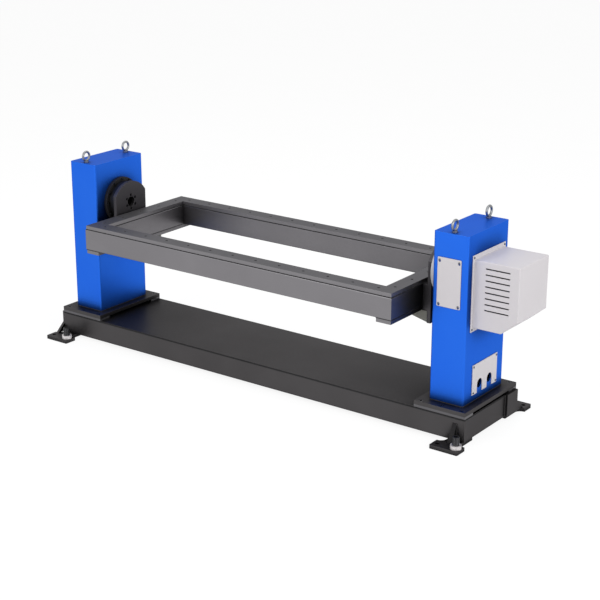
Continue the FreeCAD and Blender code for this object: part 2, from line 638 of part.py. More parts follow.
# Levelling screws and their round lock nuts, one of each at every foot
jack_spots = [(side_x * foot_x - side_y * jack_offset, side_y * (base_depth / 2 + foot_row))
              for corner, side_x, side_y, angle in corners]
jacks = new_body("levelling_screws", x=middle)
nuts = new_body("levelling_lock_nuts", x=middle, z=foot_plate)
jack_sketch = new_sketch(jacks, "outlines", "XY_Plane")
jack_top = new_sketch(jacks, "sockets", "XY_Plane", jack_length)
nut_sketch = new_sketch(nuts, "outlines", "XY_Plane")
for spot_x, spot_y in jack_spots:
    circle(jack_sketch, spot_x, spot_y, jack_radius)
    hexagon(jack_top, spot_x, spot_y, jack_socket)
    circle(nut_sketch, spot_x, spot_y, nut_radius)
    circle(nut_sketch, spot_x, spot_y, jack_radius + seat_gap)
pad(jacks, "shanks", jack_sketch, jack_length)
pocket(jacks, "sockets_cut", jack_top, jack_socket_depth)
pad(nuts, "rings", nut_sketch, nut_height)

# Post flanges on two machined pads each, with their screws
flange_half = flange_length / 2
pads = new_body("post_pads", x=middle, z=base_top)
pads_sketch = new_sketch(pads, "outline", "XY_Plane")
for side in (-1, 1):
    for edge in (-1, 1):
        low = edge * (base_depth / 2 - pad_width / 2) - pad_width / 2
        rectangle(pads_sketch, side * flange_centre - flange_half, low,
                  side * flange_centre + flange_half, low + pad_width)
for spot_x, spot_y in flange_spots():
    circle(pads_sketch, spot_x, spot_y, flange_screw + seat_gap)
pad(pads, "pads", pads_sketch, pad_thick)

for name, side in (("left_post_flange", -1), ("right_post_flange", 1)):
    flange = new_body(name, x=middle + side * flange_centre, z=base_top + pad_thick)
    flange_sketch = new_sketch(flange, "outline", "XY_Plane")
    rectangle(flange_sketch, -flange_half, -base_depth / 2, flange_half, base_depth / 2)
    pad(flange, "plate", flange_sketch, flange_plate)
    recesses = new_sketch(flange, "recesses", "XY_Plane", flange_plate)
    bores = new_sketch(flange, "bores", "XY_Plane", flange_plate)
    for step in (-1, 0, 1):
        for edge in (-1, 1):
            spot = (step * flange_pitch, edge * (base_depth / 2 - flange_edge))
            circle(recesses, spot[0], spot[1], flange_screw * cap_radius + recess_gap)
            circle(bores, spot[0], spot[1], flange_screw + seat_gap)
    pocket(flange, "recesses_cut", recesses, flange_recess)
    pocket(flange, "bores_cut", bores)

flange_screws = new_body("post_flange_screws", x=middle, z=flange_top - flange_recess)
shank = flange_plate - flange_recess + pad_thick + top_plate + base_wall
heads = new_sketch(flange_screws, "heads", "XY_Plane")
shanks = new_sketch(flange_screws, "shanks", "XY_Plane")
sockets = new_sketch(flange_screws, "sockets", "XY_Plane", flange_screw * cap_height)
for spot_x, spot_y in flange_spots():
    circle(heads, spot_x, spot_y, flange_screw * cap_radius)
    circle(shanks, spot_x, spot_y, flange_screw)
    hexagon(sockets, spot_x, spot_y, flange_screw * hex_radius)
pad(flange_screws, "heads_pad", heads, flange_screw * cap_height)
pad(flange_screws, "shanks_pad", shanks, shank, True)
pocket(flange_screws, "sockets_cut", sockets, flange_screw)


# Posts: box columns with a top plate, open below, with the openings that their fittings need
def new_post(name, side):
    post = new_body(name, x=middle + side * post_centre, z=flange_top)
    section = new_sketch(post, "section", "XY_Plane")
    rectangle(section, -post_width / 2, -post_depth / 2, post_width / 2, post_depth / 2)
    block = pad(post, "column", section, post_height)
    rounded(post, "edges", block, post_edge, along_z)
    hollow = new_sketch(post, "hollow", "XY_Plane")
    rectangle(hollow, post_wall - post_width / 2, post_wall - post_depth / 2,
              post_width / 2 - post_wall, post_depth / 2 - post_wall)
    pocket(post, "hollow_cut", hollow, post_height - post_cap, True)
    eyes = new_sketch(post, "eye_holes", "XY_Plane", post_height)
    circle(eyes, 0, -eye_row, eye_shank + seat_gap)
    circle(eyes, 0, eye_row, eye_shank + seat_gap)
    pocket(post, "eye_holes_cut", eyes, post_cap)
    return post


def wall_sketch(post, name, side, rise=0):
    """A sketch on the outside of the post's wall towards -X or +X."""
    return new_sketch(post, name, "YZ_Plane", side * post_width / 2, rise)


axis_level = axis_height - flange_top
left_post = new_post("left_post", -1)
left_bore = wall_sketch(left_post, "housing_bore", 1, axis_level)
circle(left_bore, 0, 0, tail_barrel + fitting)
pocket(left_post, "housing_bore_cut", left_bore, post_wall)
left_screw = wall_sketch(left_post, "housing_screw", 1, axis_level)
circle(left_screw, 0, tail_circle, tail_screw + seat_gap)
hole = pocket(left_post, "housing_screw_cut", left_screw, post_wall)
ring(left_post, "housing_screws", [hole], left_screw, "N_Axis", tail_count)

right_post = new_post("right_post", 1)
right_bore = wall_sketch(right_post, "reducer_bore", -1, axis_level)
circle(right_bore, 0, 0, case_boss + fitting)
pocket(right_post, "reducer_bore_cut", right_bore, post_wall, True)
right_screw = wall_sketch(right_post, "reducer_screw", -1, axis_level)
circle(right_screw, 0, case_circle, tail_screw + seat_gap)
hole = pocket(right_post, "reducer_screw_cut", right_screw, post_wall, True)
ring(right_post, "reducer_screws", [hole], right_screw, "N_Axis", case_count)
right_outer = wall_sketch(right_post, "outer_holes", 1)
circle(right_outer, 0, motor_level - flange_top, motor_hole)
cable_level = cable_centre - cable_drop - flange_top
circle(right_outer, cable_shift - cable_offset, cable_level, cable_radius)
circle(right_outer, cable_shift + cable_offset, cable_level, cable_radius)
for side_y in (-1, 1):
    for side_z in (-1, 1):
        circle(right_outer, hood_shift + side_y * (hood_lip_width / 2 - hood_lip_edge),
               hood_level + side_z * (hood_lip_height / 2 - hood_lip_edge) - flange_top,
               cover_screw + seat_gap)
        circle(right_outer, cable_shift + side_y * (cable_width / 2 - cable_edge),
               cable_centre + side_z * (cable_height / 2 - cable_edge) - flange_top, cover_screw + seat_gap)
        circle(right_outer, side_y * adapter_circle,
               motor_level + side_z * adapter_circle - flange_top, block_screw + seat_gap)
pocket(right_post, "outer_holes_cut", right_outer, post_wall)
access = new_sketch(right_post, "access_opening", "XZ_Plane", post_depth / 2)
cover_level = axis_height - cover_drop - flange_top
rectangle(access, cover_shift - cover_width / 2 + cover_margin, cover_level - cover_height / 2 + cover_margin,
          cover_shift + cover_width / 2 - cover_margin, cover_level + cover_height / 2 - cover_margin)
cover_x = cover_width / 2 - cover_edge
cover_z = cover_height / 2 - cover_edge_z
for side_x in (-1, 1):
    for side_z in (-1, 1):
        circle(access, cover_shift + side_x * cover_x, cover_level + side_z * cover_z, cover_screw + seat_gap)
pocket(right_post, "access_opening_cut", access, post_wall)

# Lifting eyes: two on each post
eyes = new_body("lifting_eyes", x=middle - post_centre, y=-eye_row, z=post_top)
eye_sketch = new_sketch(eyes, "shank_outline", "XY_Plane")
circle(eye_sketch, 0, 0, eye_shank)
eye_pin = pad(eyes, "shank", eye_sketch, post_cap, True)
collar_sketch = new_sketch(eyes, "collar_outline", "XY_Plane")
circle(collar_sketch, 0, 0, eye_collar)
collar = pad(eyes, "collar", collar_sketch, eye_collar_height)
hoop = eyes.newObject("PartDesign::AdditiveTorus", "lifting_eyes_ring")
hoop.AttachmentSupport = (plane_of(eyes, "YZ_Plane"), [""])
hoop.MapMode = "FlatFace"
bind(hoop, "Radius1", eye_ring)
bind(hoop, "Radius2", eye_wire)
bind(hoop, "AttachmentOffset.Base.y", eye_height - eye_ring - eye_wire)
grid(eyes, "places", [eye_pin, collar, hoop], eye_sketch, 2 * post_centre, 2, 2 * eye_row, 2)


# Turning frame: four mitred tubes, machined strips on top and under the two short tubes
def new_rail(name, length, **where):
    """A tube along X with its mitres opening to +Y, the inside of the frame."""
    rail = new_body(name, z=rail_middle, **where)
    section = new_sketch(rail, "section", "YZ_Plane", -length / 2)
    rectangle(section, 0, -rail_height / 2, rail_width, rail_height / 2)
    block = pad(rail, "bar", section, length)
    rounded(rail, "edges", block, rail_corner, along_x)
    inside = new_sketch(rail, "inside", "YZ_Plane", length / 2)
    rectangle(inside, rail_wall, rail_wall - rail_height / 2,
              rail_width - rail_wall, rail_height / 2 - rail_wall)
    pocket(rail, "inside_cut", inside)
    mitres = new_sketch(rail, "mitres", "XY_Plane", rail_height / 2)
    for end in (-1, 1):
        outline(mitres, [(end * length / 2, 0), (end * (length / 2 - rail_width), rail_width),
                         (end * length / 2, rail_width)])
    pocket(rail, "mitres_cut", mitres)
    return rail


new_rail("frame_front_rail", frame_length, x=frame_middle, y=-frame_depth / 2)
new_rail("frame_rear_rail", frame_length, x=frame_middle, y=frame_depth / 2, axis=V(0, 0, 1), angle=180)
for name, side, angle in (("frame_left_rail", -1, -90), ("frame_right_rail", 1, 90)):
    rail = new_rail(name, frame_depth, x=frame_middle + side * frame_length / 2, axis=V(0, 0, 1), angle=angle)
    holes = new_sketch(rail, "screw_holes", "XZ_Plane")
    for side_x in (-1, 1):
        for side_z in (-1, 1):
            circle(holes, side_x * block_pitch_y / 2, side_z * block_pitch_z / 2, block_screw + seat_gap)
    pocket(rail, "screw_holes_cut", holes, rail_wall)


def new_strip(name, length, z, count=0, **where):
    """A machined strip along X, with a row of tapped holes where it carries fixtures."""
    strip = new_body(name, z=z, **where)
    strip_sketch = new_sketch(strip, "outline", "XY_Plane")
    rectangle(strip_sketch, -length / 2, -strip_width / 2, length / 2, strip_width / 2)
    pad(strip, "bar", strip_sketch, strip_plate)
    if count:
        span = fixture_pitch * (count - 1)
        hole_sketch = new_sketch(strip, "hole", "XY_Plane", strip_plate)
        circle(hole_sketch, -span / 2, 0, fixture_hole)
        hole = pocket(strip, "hole_cut", hole_sketch)
        row(strip, "holes", [hole], hole_sketch, "H_Axis", span, count)


strip_y = frame_depth / 2 - strip_side - strip_width / 2
strip_x = frame_length / 2 - strip_end - strip_width / 2
new_strip("fixture_strip_front", long_strip, strip_top - strip_plate, long_row, x=frame_middle, y=-strip_y)
new_strip("fixture_strip_rear", long_strip, strip_top - strip_plate, long_row, x=frame_middle, y=strip_y)
for name, side in (("left", -1), ("right", 1)):
    new_strip("fixture_strip_" + name, short_strip, strip_top - strip_plate, short_row,
              x=frame_middle + side * strip_x, axis=V(0, 0, 1), angle=90)
    new_strip("lower_strip_" + name, frame_depth - 2 * strip_side, rail_under,
              x=frame_middle + side * strip_x, axis=V(0, 0, 1), angle=90)

# Spacers and arm plates: the inner face of each arm plate is at x = 0 of its body
for name, side, angle in (("left", -1, 180), ("right", 1, 0)):
    block = new_body("frame_spacer_" + name, x=frame_middle + side * frame_length / 2, z=rail_middle,
                     axis=V(0, 0, 1), angle=angle)
    block_sketch = new_sketch(block, "outline", "YZ_Plane")
    rectangle(block_sketch, -block_width / 2, -rail_height / 2 - strip_plate,
              block_width / 2, rail_height / 2)
    for side_y in (-1, 1):
        for side_z in (-1, 1):
            circle(block_sketch, side_y * block_pitch_y / 2, side_z * block_pitch_z / 2,
                   block_screw + seat_gap)
    pad(block, "block", block_sketch, block_thick)

    arm = new_body("arm_plate_" + name, x=frame_middle + side * arm_span, z=axis_height,
                   axis=V(0, 0, 1), angle=angle)
    arm_sketch = new_sketch(arm, "outline", "YZ_Plane")
    wide = arm_half.value
    low = -arm_drop.value
    high = arm_shoulder.value
    for start, end in ((V(-wide, high, 0), V(-wide, low, 0)), (V(-wide, low, 0), V(wide, low, 0)),
                       (V(wide, low, 0), V(wide, high, 0))):
        arm_sketch.addGeometry(Part.LineSegment(start, end), False)
    arm_sketch.addGeometry(Part.Arc(V(wide, high, 0), V(0, arm_top.value, 0), V(-wide, high, 0)), False)
    for first, end, second, start in ((0, 2, 1, 1), (1, 2, 2, 1), (2, 2, 3, 1), (3, 2, 0, 1)):
        arm_sketch.addConstraint(Sketcher.Constraint("Coincident", first, end, second, start))
    pin_point(arm_sketch, 0, 1, -arm_half, arm_shoulder)
    pin_point(arm_sketch, 1, 1, -arm_half, -arm_drop)
    pin_point(arm_sketch, 2, 1, arm_half, -arm_drop)
    pin_point(arm_sketch, 2, 2, arm_half, arm_shoulder)
    arc_radius = arm_sketch.addConstraint(Sketcher.Constraint("Radius", 3, crown.value))
    arm_sketch.setExpression("Constraints[%d]" % arc_radius, crown.text)
    circle(arm_sketch, 0, 0, arm_bore)
    pad(arm, "plate", arm_sketch, arm_thick)
    block_level = rail_middle - axis_height
    outer_holes = new_sketch(arm, "spacer_holes", "YZ_Plane", arm_thick)
    outer_recess = new_sketch(arm, "spacer_recesses", "YZ_Plane", arm_thick)
    for side_y in (-1, 1):
        for side_z in (-1, 1):
            spot = (side_y * block_pitch_y / 2, block_level + side_z * block_pitch_z / 2)
            circle(outer_holes, spot[0], spot[1], block_screw + seat_gap)
            circle(outer_recess, spot[0], spot[1], block_screw * cap_radius + recess_gap)
    pocket(arm, "spacer_holes_cut", outer_holes)
    pocket(arm, "spacer_recesses_cut", outer_recess, block_recess)
    hub_hole = new_sketch(arm, "hub_hole", "YZ_Plane")
    circle(hub_hole, 0, arm_circle, arm_screw + seat_gap)
    hub_recess = new_sketch(arm, "hub_recess", "YZ_Plane")
    circle(hub_recess, 0, arm_circle, arm_screw * cap_radius + recess_gap)
    hole = pocket(arm, "hub_hole_cut", hub_hole, None, True)
    recess = pocket(arm, "hub_recess_cut", hub_recess, arm_recess, True)
    ring(arm, "hub_holes", [hole, recess], hub_hole, "N_Axis", 6)

# Screws of the arm plates: a ring into each hub and a rectangle into each spacer
screws = new_body("arm_plate_screws", x=frame_middle, z=axis_height, axis=V(0, 1, 0), angle=90)
hub_seat = arm_span + arm_recess
for name, side in (("right_hub", 1), ("left_hub", -1)):
    head_sketch = new_sketch(screws, name + "_heads", "XY_Plane", side * hub_seat)
    circle(head_sketch, -arm_circle, 0, arm_screw * cap_radius)
    head = pad(screws, name + "_head", head_sketch, arm_screw * cap_height, side > 0)
    shank_sketch = new_sketch(screws, name + "_shanks", "XY_Plane", side * hub_seat)
    circle(shank_sketch, -arm_circle, 0, arm_screw)
    shank = pad(screws, name + "_shank", shank_sketch, arm_grip, side < 0)
    socket_sketch = new_sketch(screws, name + "_sockets", "XY_Plane", side * (arm_span + recess_sink))
    hexagon(socket_sketch, -arm_circle, 0, arm_screw * hex_radius)
    socket = pocket(screws, name + "_socket", socket_sketch, arm_screw, side > 0)
    ring(screws, name + "_ring", [head, shank, socket], head_sketch, "N_Axis", 6)

spacer_row = axis_height - rail_middle
block_seat = arm_span + arm_thick - block_recess
block_grip = arm_thick - block_recess + block_thick + rail_wall * 2
for name, side in (("right_spacer", 1), ("left_spacer", -1)):
    head_sketch = new_sketch(screws, name + "_heads", "XY_Plane", side * block_seat)
    circle(head_sketch, spacer_row - block_pitch_z / 2, -block_pitch_y / 2, block_screw * cap_radius)
    head = pad(screws, name + "_head", head_sketch, block_screw * cap_height, side < 0)
    shank_sketch = new_sketch(screws, name + "_shanks", "XY_Plane", side * block_seat)
    circle(shank_sketch, spacer_row - block_pitch_z / 2, -block_pitch_y / 2, block_screw)
    shank = pad(screws, name + "_shank", shank_sketch, block_grip, side > 0)
    grid(screws, name + "_grid", [head, shank], head_sketch, block_pitch_z, 2, block_pitch_y, 2)

# Ribs under the frame, two at each arm plate
knees = new_body("arm_ribs", x=frame_middle, z=axis_height)
knee_sketch = new_sketch(knees, "outline", "XZ_Plane", arm_half - knee_plate)
knee_top = rail_under - axis_height
outline(knee_sketch, [(arm_span, knee_top), (arm_span, knee_foot - arm_drop),
                      (arm_span - knee_reach, knee_top - knee_tip), (arm_span - knee_reach, knee_top)])
knee = pad(knees, "rib", knee_sketch, knee_plate)
mirrors = []
for role in ("YZ_Plane", "XZ_Plane"):
    mirror = knees.newObject("PartDesign::Mirrored", "arm_ribs_mirror_" + role[:2])
    mirror.MirrorPlane = (plane_of(knees, role), [""])
    mirrors.append(mirror)
both = knees.newObject("PartDesign::MultiTransform", "arm_ribs_copies")
both.Originals = [knee]
both.Transformations = mirrors
knees.Tip = both

# Tailstock: x = 0 of its bodies is the inner face of the left post, and the axis is their X axis
tail_x = middle - post_inner
housing = new_body("tail_bearing_housing", x=tail_x, z=axis_height)
turned(housing, "turned", [(-tail_barrel_length, bearing_outer + seat_gap),
                           (-tail_barrel_length, tail_barrel), (0, tail_barrel),
                           (0, tail_radius), (tail_flange, tail_radius),
                           (tail_flange, bearing_outer + seat_gap),
                           (tail_flange - bearing_width, bearing_outer + seat_gap),
                           (tail_flange - bearing_width, tail_shoulder),
                           (bearing_width - tail_barrel_length, tail_shoulder),
                           (bearing_width - tail_barrel_length, bearing_outer + seat_gap)])
housing_hole = new_sketch(housing, "screw_hole", "YZ_Plane", tail_flange)
circle(housing_hole, 0, tail_circle, tail_screw + seat_gap)
hole = pocket(housing, "screw_hole_cut", housing_hole, tail_flange)
ring(housing, "screw_holes", [hole], housing_hole, "N_Axis", tail_count)

tail_screws = new_body("tail_housing_screws", x=tail_x + tail_flange, z=axis_height,
                       axis=V(0, 1, 0), angle=90)
cap_screw_ring(tail_screws, "screw", 0, tail_screw, tail_flange + post_wall, -tail_circle, tail_count)

bearings = new_body("tail_bearings", x=tail_x, z=axis_height)
turned(bearings, "front", [(tail_flange, spindle_radius + running), (tail_flange, bearing_outer),
                           (tail_flange - bearing_width, bearing_outer),
                           (tail_flange - bearing_width, spindle_radius + running)])
turned(bearings, "rear", [(-tail_barrel_length, spindle_radius + running),
                          (-tail_barrel_length, bearing_outer),
                          (bearing_width - tail_barrel_length, bearing_outer),
                          (bearing_width - tail_barrel_length, spindle_radius + running)])

spindle = new_body("tail_spindle", x=tail_x, z=axis_height)
hub_face = tail_flange + face_gap
nut_face = -tail_barrel_length - face_gap
spindle_end = nut_face - lock_ring_width - spindle_tail
turned(spindle, "turned", [(spindle_end, arm_bore), (spindle_end, spindle_radius), (hub_face, spindle_radius),
                           (hub_face, hub_radius), (tail_flange + hub_length, hub_radius),
                           (tail_flange + hub_length, arm_bore)])
spindle_hole = new_sketch(spindle, "screw_hole", "YZ_Plane", tail_flange + hub_length)
circle(spindle_hole, 0, arm_circle, arm_screw + seat_gap)
hole = pocket(spindle, "screw_hole_cut", spindle_hole, arm_thread)
ring(spindle, "screw_holes", [hole], spindle_hole, "N_Axis", 6)

spindle_nut = new_body("tail_spindle_nut", x=tail_x, z=axis_height)
turned(spindle_nut, "ring", [(nut_face, spindle_radius + seat_gap), (nut_face, lock_ring),
                             (nut_face - lock_ring_width, lock_ring),
                             (nut_face - lock_ring_width, spindle_radius + seat_gap)])

# Headstock: x = 0 of its bodies is the inner face of the driven post, and the axis is their X axis
head_x = middle + post_inner
case_face = head_gap - head_length
output_step = output_thick - head_length
case = new_body("reducer_case", x=head_x, z=axis_height)
bearing_face = output_step + head_gap
turned(case, "turned", [(case_face, case_recess), (case_face, case_radius), (0, case_radius), (0, case_boss),
                        (case_boss_length, case_boss), (case_boss_length, gear_shaft + running),
                        (case_boss_length - case_back, gear_shaft + running),
                        (case_boss_length - case_back, journal_radius),
                        (bearing_face + head_bearing_width, journal_radius + case_step),
                        (bearing_face + head_bearing_width, head_bearing + seat_gap),
                        (bearing_face, head_bearing + seat_gap), (bearing_face, case_recess)])
case_hole = new_sketch(case, "screw_hole", "YZ_Plane", case_face)
circle(case_hole, 0, case_circle, tail_screw + seat_gap)
case_recesses = new_sketch(case, "screw_recess", "YZ_Plane", case_face)
circle(case_recesses, 0, case_circle, tail_screw * cap_radius + recess_sink)
hole = pocket(case, "screw_hole_cut", case_hole, -case_face, True)
recess = pocket(case, "screw_recess_cut", case_recesses, tail_screw * cap_height, True)
ring(case, "screw_holes", [hole, recess], case_hole, "N_Axis", case_count)

case_seat = case_face + tail_screw * cap_height
case_screws = new_body("reducer_screws", x=head_x + case_seat, z=axis_height, axis=V(0, 1, 0), angle=-90)
cap_screw_ring(case_screws, "screw", 0, tail_screw, post_wall - case_seat, case_circle, case_count)

output_bearing = new_body("output_bearing", x=head_x, z=axis_height)
turned(output_bearing, "ring", [(bearing_face, journal_radius + running), (bearing_face, head_bearing),
                                (bearing_face + head_bearing_width, head_bearing),
                                (bearing_face + head_bearing_width, journal_radius + running)])

output = new_body("output_flange", x=head_x, z=axis_height)
turned(output, "turned", [(-head_length, 0), (-head_length, case_recess - face_gap),
                          (output_step, case_recess - face_gap), (output_step, journal_radius),
                          (output_step + journal_length, journal_radius), (output_step + journal_length, 0)])
output_bore = new_sketch(output, "bore", "YZ_Plane", -head_length)
circle(output_bore, 0, 0, arm_bore)
pocket(output, "bore_cut", output_bore, output_thick, True)
output_hole = new_sketch(output, "screw_hole", "YZ_Plane", -head_length)
circle(output_hole, 0, arm_circle, arm_screw + seat_gap)
hole = pocket(output, "screw_hole_cut", output_hole, arm_thread, True)
ring(output, "screw_holes", [hole], output_hole, "N_Axis", 6)


# Gears: involute teeth, with the play between flanks taken off both
def involute(base_radius, radius, start_angle):
    """The point of an involute at a radius, turned by an angle."""
    roll = math.sqrt(max(radius * radius / (base_radius * base_radius) - 1, 0))
    angle = start_angle + roll - math.atan(roll)
    return radius, angle


def gear_face(count):
    """Flat face of a spur gear in the YZ plane, with a tooth on the +Y side."""
    teeth = round(count.value)
    module = tooth_module.value
    pitch = module * teeth / 2
    pressure = math.radians(20)
    base = pitch * math.cos(pressure)
    outer = pitch + module
    root = pitch - 1.25 * module
    half_tooth = math.pi / (2 * teeth) - backlash.value / (4 * pitch)
    flank_start = half_tooth + math.tan(pressure) - pressure
    low = max(base, root + 0.1)
    radii = [low + (outer - low) * step / 4 for step in range(5)]
    rising = [(root, -flank_start)] + [involute(base, radius, -flank_start) for radius in radii]
    falling = [(radius, -angle) for radius, angle in reversed(rising)]
    points = []
    for tooth in range(teeth):
        centre = 2 * math.pi * tooth / teeth
        for radius, angle in rising + falling:
            points.append(V(0, radius * math.cos(centre + angle), radius * math.sin(centre + angle)))
    return Part.Face(Part.makePolygon(points + points[:1]))


def gear_piece(name, solid, x, z):
    piece = doc.addObject("Part::Feature", name)
    piece.Label = name
    piece.Shape = solid
    place(piece, x=x, z=z)
    pieces.append(piece)


wheel_width = gear_width.value
wheel = gear_face(gear_teeth).extrude(V(wheel_width, 0, 0))
wheel_shaft = Part.makeCylinder(gear_shaft.value, gear_shaft_length.value + wheel_width,
                                V(-gear_shaft_length.value, 0, 0), V(1, 0, 0))
gear_piece("centre_gear", wheel.fuse(wheel_shaft).removeSplitter(), gear_start, axis_height)

pinion_width = wheel_width + pinion_extra.value
pinion_blank = gear_face(pinion_teeth).extrude(V(pinion_width, 0, 0))
pinion_bore = Part.makeCylinder((motor_shaft + seat_gap).value, pinion_width, V(0, 0, 0), V(1, 0, 0))
gear_piece("motor_pinion", pinion_blank.cut(pinion_bore), gear_start - pinion_extra / 2, motor_level)

# Motor: x = 0 of its bodies is the outer face of the driven post
motor_x = middle + post_outer
adapter = new_body("motor_adapter_plate", x=motor_x, z=motor_level)
adapter_sketch = new_sketch(adapter, "outline", "YZ_Plane")
rectangle(adapter_sketch, -adapter_side / 2, -adapter_side / 2, adapter_side / 2, adapter_side / 2)
circle(adapter_sketch, 0, 0, motor_hole)
for side_y in (-1, 1):
    for side_z in (-1, 1):
        circle(adapter_sketch, side_y * adapter_circle, side_z * adapter_circle, block_screw + seat_gap)
        circle(adapter_sketch, side_y * motor_circle, side_z * motor_circle, arm_screw + seat_gap)
pad(adapter, "plate", adapter_sketch, adapter_plate)

motor = new_body("motor_casing", x=motor_x + adapter_plate, z=motor_level)
motor_sketch = new_sketch(motor, "flange_outline", "YZ_Plane")
rectangle(motor_sketch, -motor_side / 2, -motor_side / 2, motor_side / 2, motor_side / 2)
for side_y in (-1, 1):
    for side_z in (-1, 1):
        circle(motor_sketch, side_y * motor_circle, side_z * motor_circle, arm_screw + seat_gap)
pad(motor, "flange", motor_sketch, motor_flange)
casing_sketch = new_sketch(motor, "casing_outline", "YZ_Plane")
circle(casing_sketch, 0, 0, motor_radius)
pad(motor, "casing", casing_sketch, motor_length)
shaft_sketch = new_sketch(motor, "shaft_bore", "YZ_Plane")
circle(shaft_sketch, 0, 0, motor_shaft + running)
pocket(motor, "shaft_bore_cut", shaft_sketch, motor_length, True)
cavity_sketch = new_sketch(motor, "cavity", "YZ_Plane", motor_wall * 2)
circle(cavity_sketch, 0, 0, motor_radius - motor_wall)
pocket(motor, "cavity_cut", cavity_sketch, motor_length - motor_wall * 2, True)

rotor_start = motor_wall * 2 + rotor_gap
shaft_start = gear_start - pinion_extra / 2 - motor_x - adapter_plate
rotor = new_body("motor_rotor", x=motor_x + adapter_plate, z=motor_level)
turned(rotor, "turned", [(shaft_start, 0), (shaft_start, motor_shaft), (rotor_start, motor_shaft),
                         (rotor_start, rotor_radius), (rotor_start + rotor_length, rotor_radius),
                         (rotor_start + rotor_length, motor_shaft), (motor_length - rotor_end, motor_shaft),
                         (motor_length - rotor_end, 0)])

cover = new_body("motor_rear_cover", x=motor_x + adapter_plate + motor_length, z=motor_level)
cover_sketch = new_sketch(cover, "outline", "YZ_Plane")
circle(cover_sketch, 0, 0, motor_radius - motor_step)
pad(cover, "cap", cover_sketch, motor_cover)

motor_screws = new_body("motor_screws", x=motor_x + adapter_plate, z=motor_level, axis=V(0, 1, 0), angle=90)
cap_screw_grid(motor_screws, "flange", motor_flange, arm_screw, motor_flange + adapter_plate,
               2 * motor_circle, 2, 2 * motor_circle, 2)
cap_screw_grid(motor_screws, "adapter", 0, block_screw, adapter_plate + post_wall,
               2 * adapter_circle, 2, 2 * adapter_circle, 2)

# Motor hood: folded sheet with a slope below, a flange to the post and louvres in both sides
hood = new_body("motor_hood", x=motor_x, y=hood_shift, z=hood_level)
side_sketch = new_sketch(hood, "side_outline", "XZ_Plane", -hood_width / 2)
hood_half = hood_height / 2
outline(side_sketch, [(0, -hood_half), (hood_reach - hood_slope_run, -hood_half),
                      (hood_reach, hood_slope_rise - hood_half), (hood_reach, hood_half), (0, hood_half)])
hood_block = pad(hood, "block", side_sketch, hood_width)
doc.recompute()
back = ["Face%d" % (index + 1) for index, face in enumerate(hood_block.Shape.Faces)
        if face.CenterOfMass.x < 0.01]
shell = hood.newObject("PartDesign::Thickness", "motor_hood_shell")
shell.Base = (hood_block, back)
bind(shell, "Value", hood_sheet)
shell.Reversed = True
hood_side = hood_width.value / 2


def outside_of_hood(point):
    """True for a corner of the hood's outer skin away from the post."""
    skin = abs(abs(point.y) - hood_side) < 0.01
    level = abs(abs(point.z) - hood_half.value) < 0.01 or abs(point.x - hood_reach.value) < 0.01
    return skin and level


rounded(hood, "bends", shell, hood_bend,
        lambda a, b: outside_of_hood(a) and outside_of_hood(b) and max(a.x, b.x) > 0.01)
lip_sketch = new_sketch(hood, "flange_outline", "YZ_Plane")
rectangle(lip_sketch, -hood_lip_width / 2, -hood_lip_height / 2, hood_lip_width / 2, hood_lip_height / 2)
rectangle(lip_sketch, hood_sheet - hood_width / 2, hood_sheet - hood_half,
          hood_width / 2 - hood_sheet, hood_half - hood_sheet)
for side_y in (-1, 1):
    for side_z in (-1, 1):
        circle(lip_sketch, side_y * (hood_lip_width / 2 - hood_lip_edge),
               side_z * (hood_lip_height / 2 - hood_lip_edge), cover_screw + seat_gap)
pad(hood, "flange", lip_sketch, hood_sheet)
slot_sketch = new_sketch(hood, "louvre_outline", "XZ_Plane", hood_width / 2)
rectangle(slot_sketch, louvre_start, hood_half - louvre_top - louvre_slot / 2,
          louvre_start + louvre_length, hood_half - louvre_top + louvre_slot / 2)
slot = pocket(hood, "louvre_cut", slot_sketch, hood_width)
louvres = row(hood, "louvres", [slot], slot_sketch, "V_Axis", louvre_pitch * (louvre_count - 1), louvre_count)
louvres.Reversed = True

# Access cover with keyholes, and the cable plate with its two notches
access_cover = new_body("access_cover", x=middle + post_centre + cover_shift, y=-post_depth / 2,
                        z=axis_height - cover_drop)
access_sketch = new_sketch(access_cover, "outline", "XZ_Plane")
rectangle(access_sketch, -cover_width / 2, -cover_height / 2, cover_width / 2, cover_height / 2)
sheet_pad = pad(access_cover, "sheet", access_sketch, cover_sheet)
rounded(access_cover, "corners", sheet_pad, cover_corner, along_y)
keyholes = new_sketch(access_cover, "keyholes", "XZ_Plane", cover_sheet)
narrow = new_sketch(access_cover, "narrow_slots", "XZ_Plane", cover_sheet)
for side_x in (-1, 1):
    for side_z in (-1, 1):
        spot = (side_x * cover_x, side_z * cover_z)
        circle(keyholes, spot[0], spot[1] - keyhole_drop / 2, keyhole_head)
        rectangle(narrow, spot[0] - cover_screw - seat_gap, spot[1] - keyhole_drop / 2,
                  spot[0] + cover_screw + seat_gap, spot[1] + cover_screw + seat_gap)
pocket(access_cover, "keyholes_cut", keyholes)
pocket(access_cover, "narrow_slots_cut", narrow)

access_screws = new_body("access_cover_screws", x=middle + post_centre + cover_shift,
                         y=-post_depth / 2 - cover_sheet, z=axis_height - cover_drop,
                         axis=V(1, 0, 0), angle=90)
parts, screw_sketch = one_screw(access_screws, "screw", -cover_x, -cover_z, 0, cover_screw,
                                cover_sheet + post_wall, cover_head, cover_screw)
grid(access_screws, "places", parts, screw_sketch, 2 * cover_x, 2, 2 * cover_z, 2)

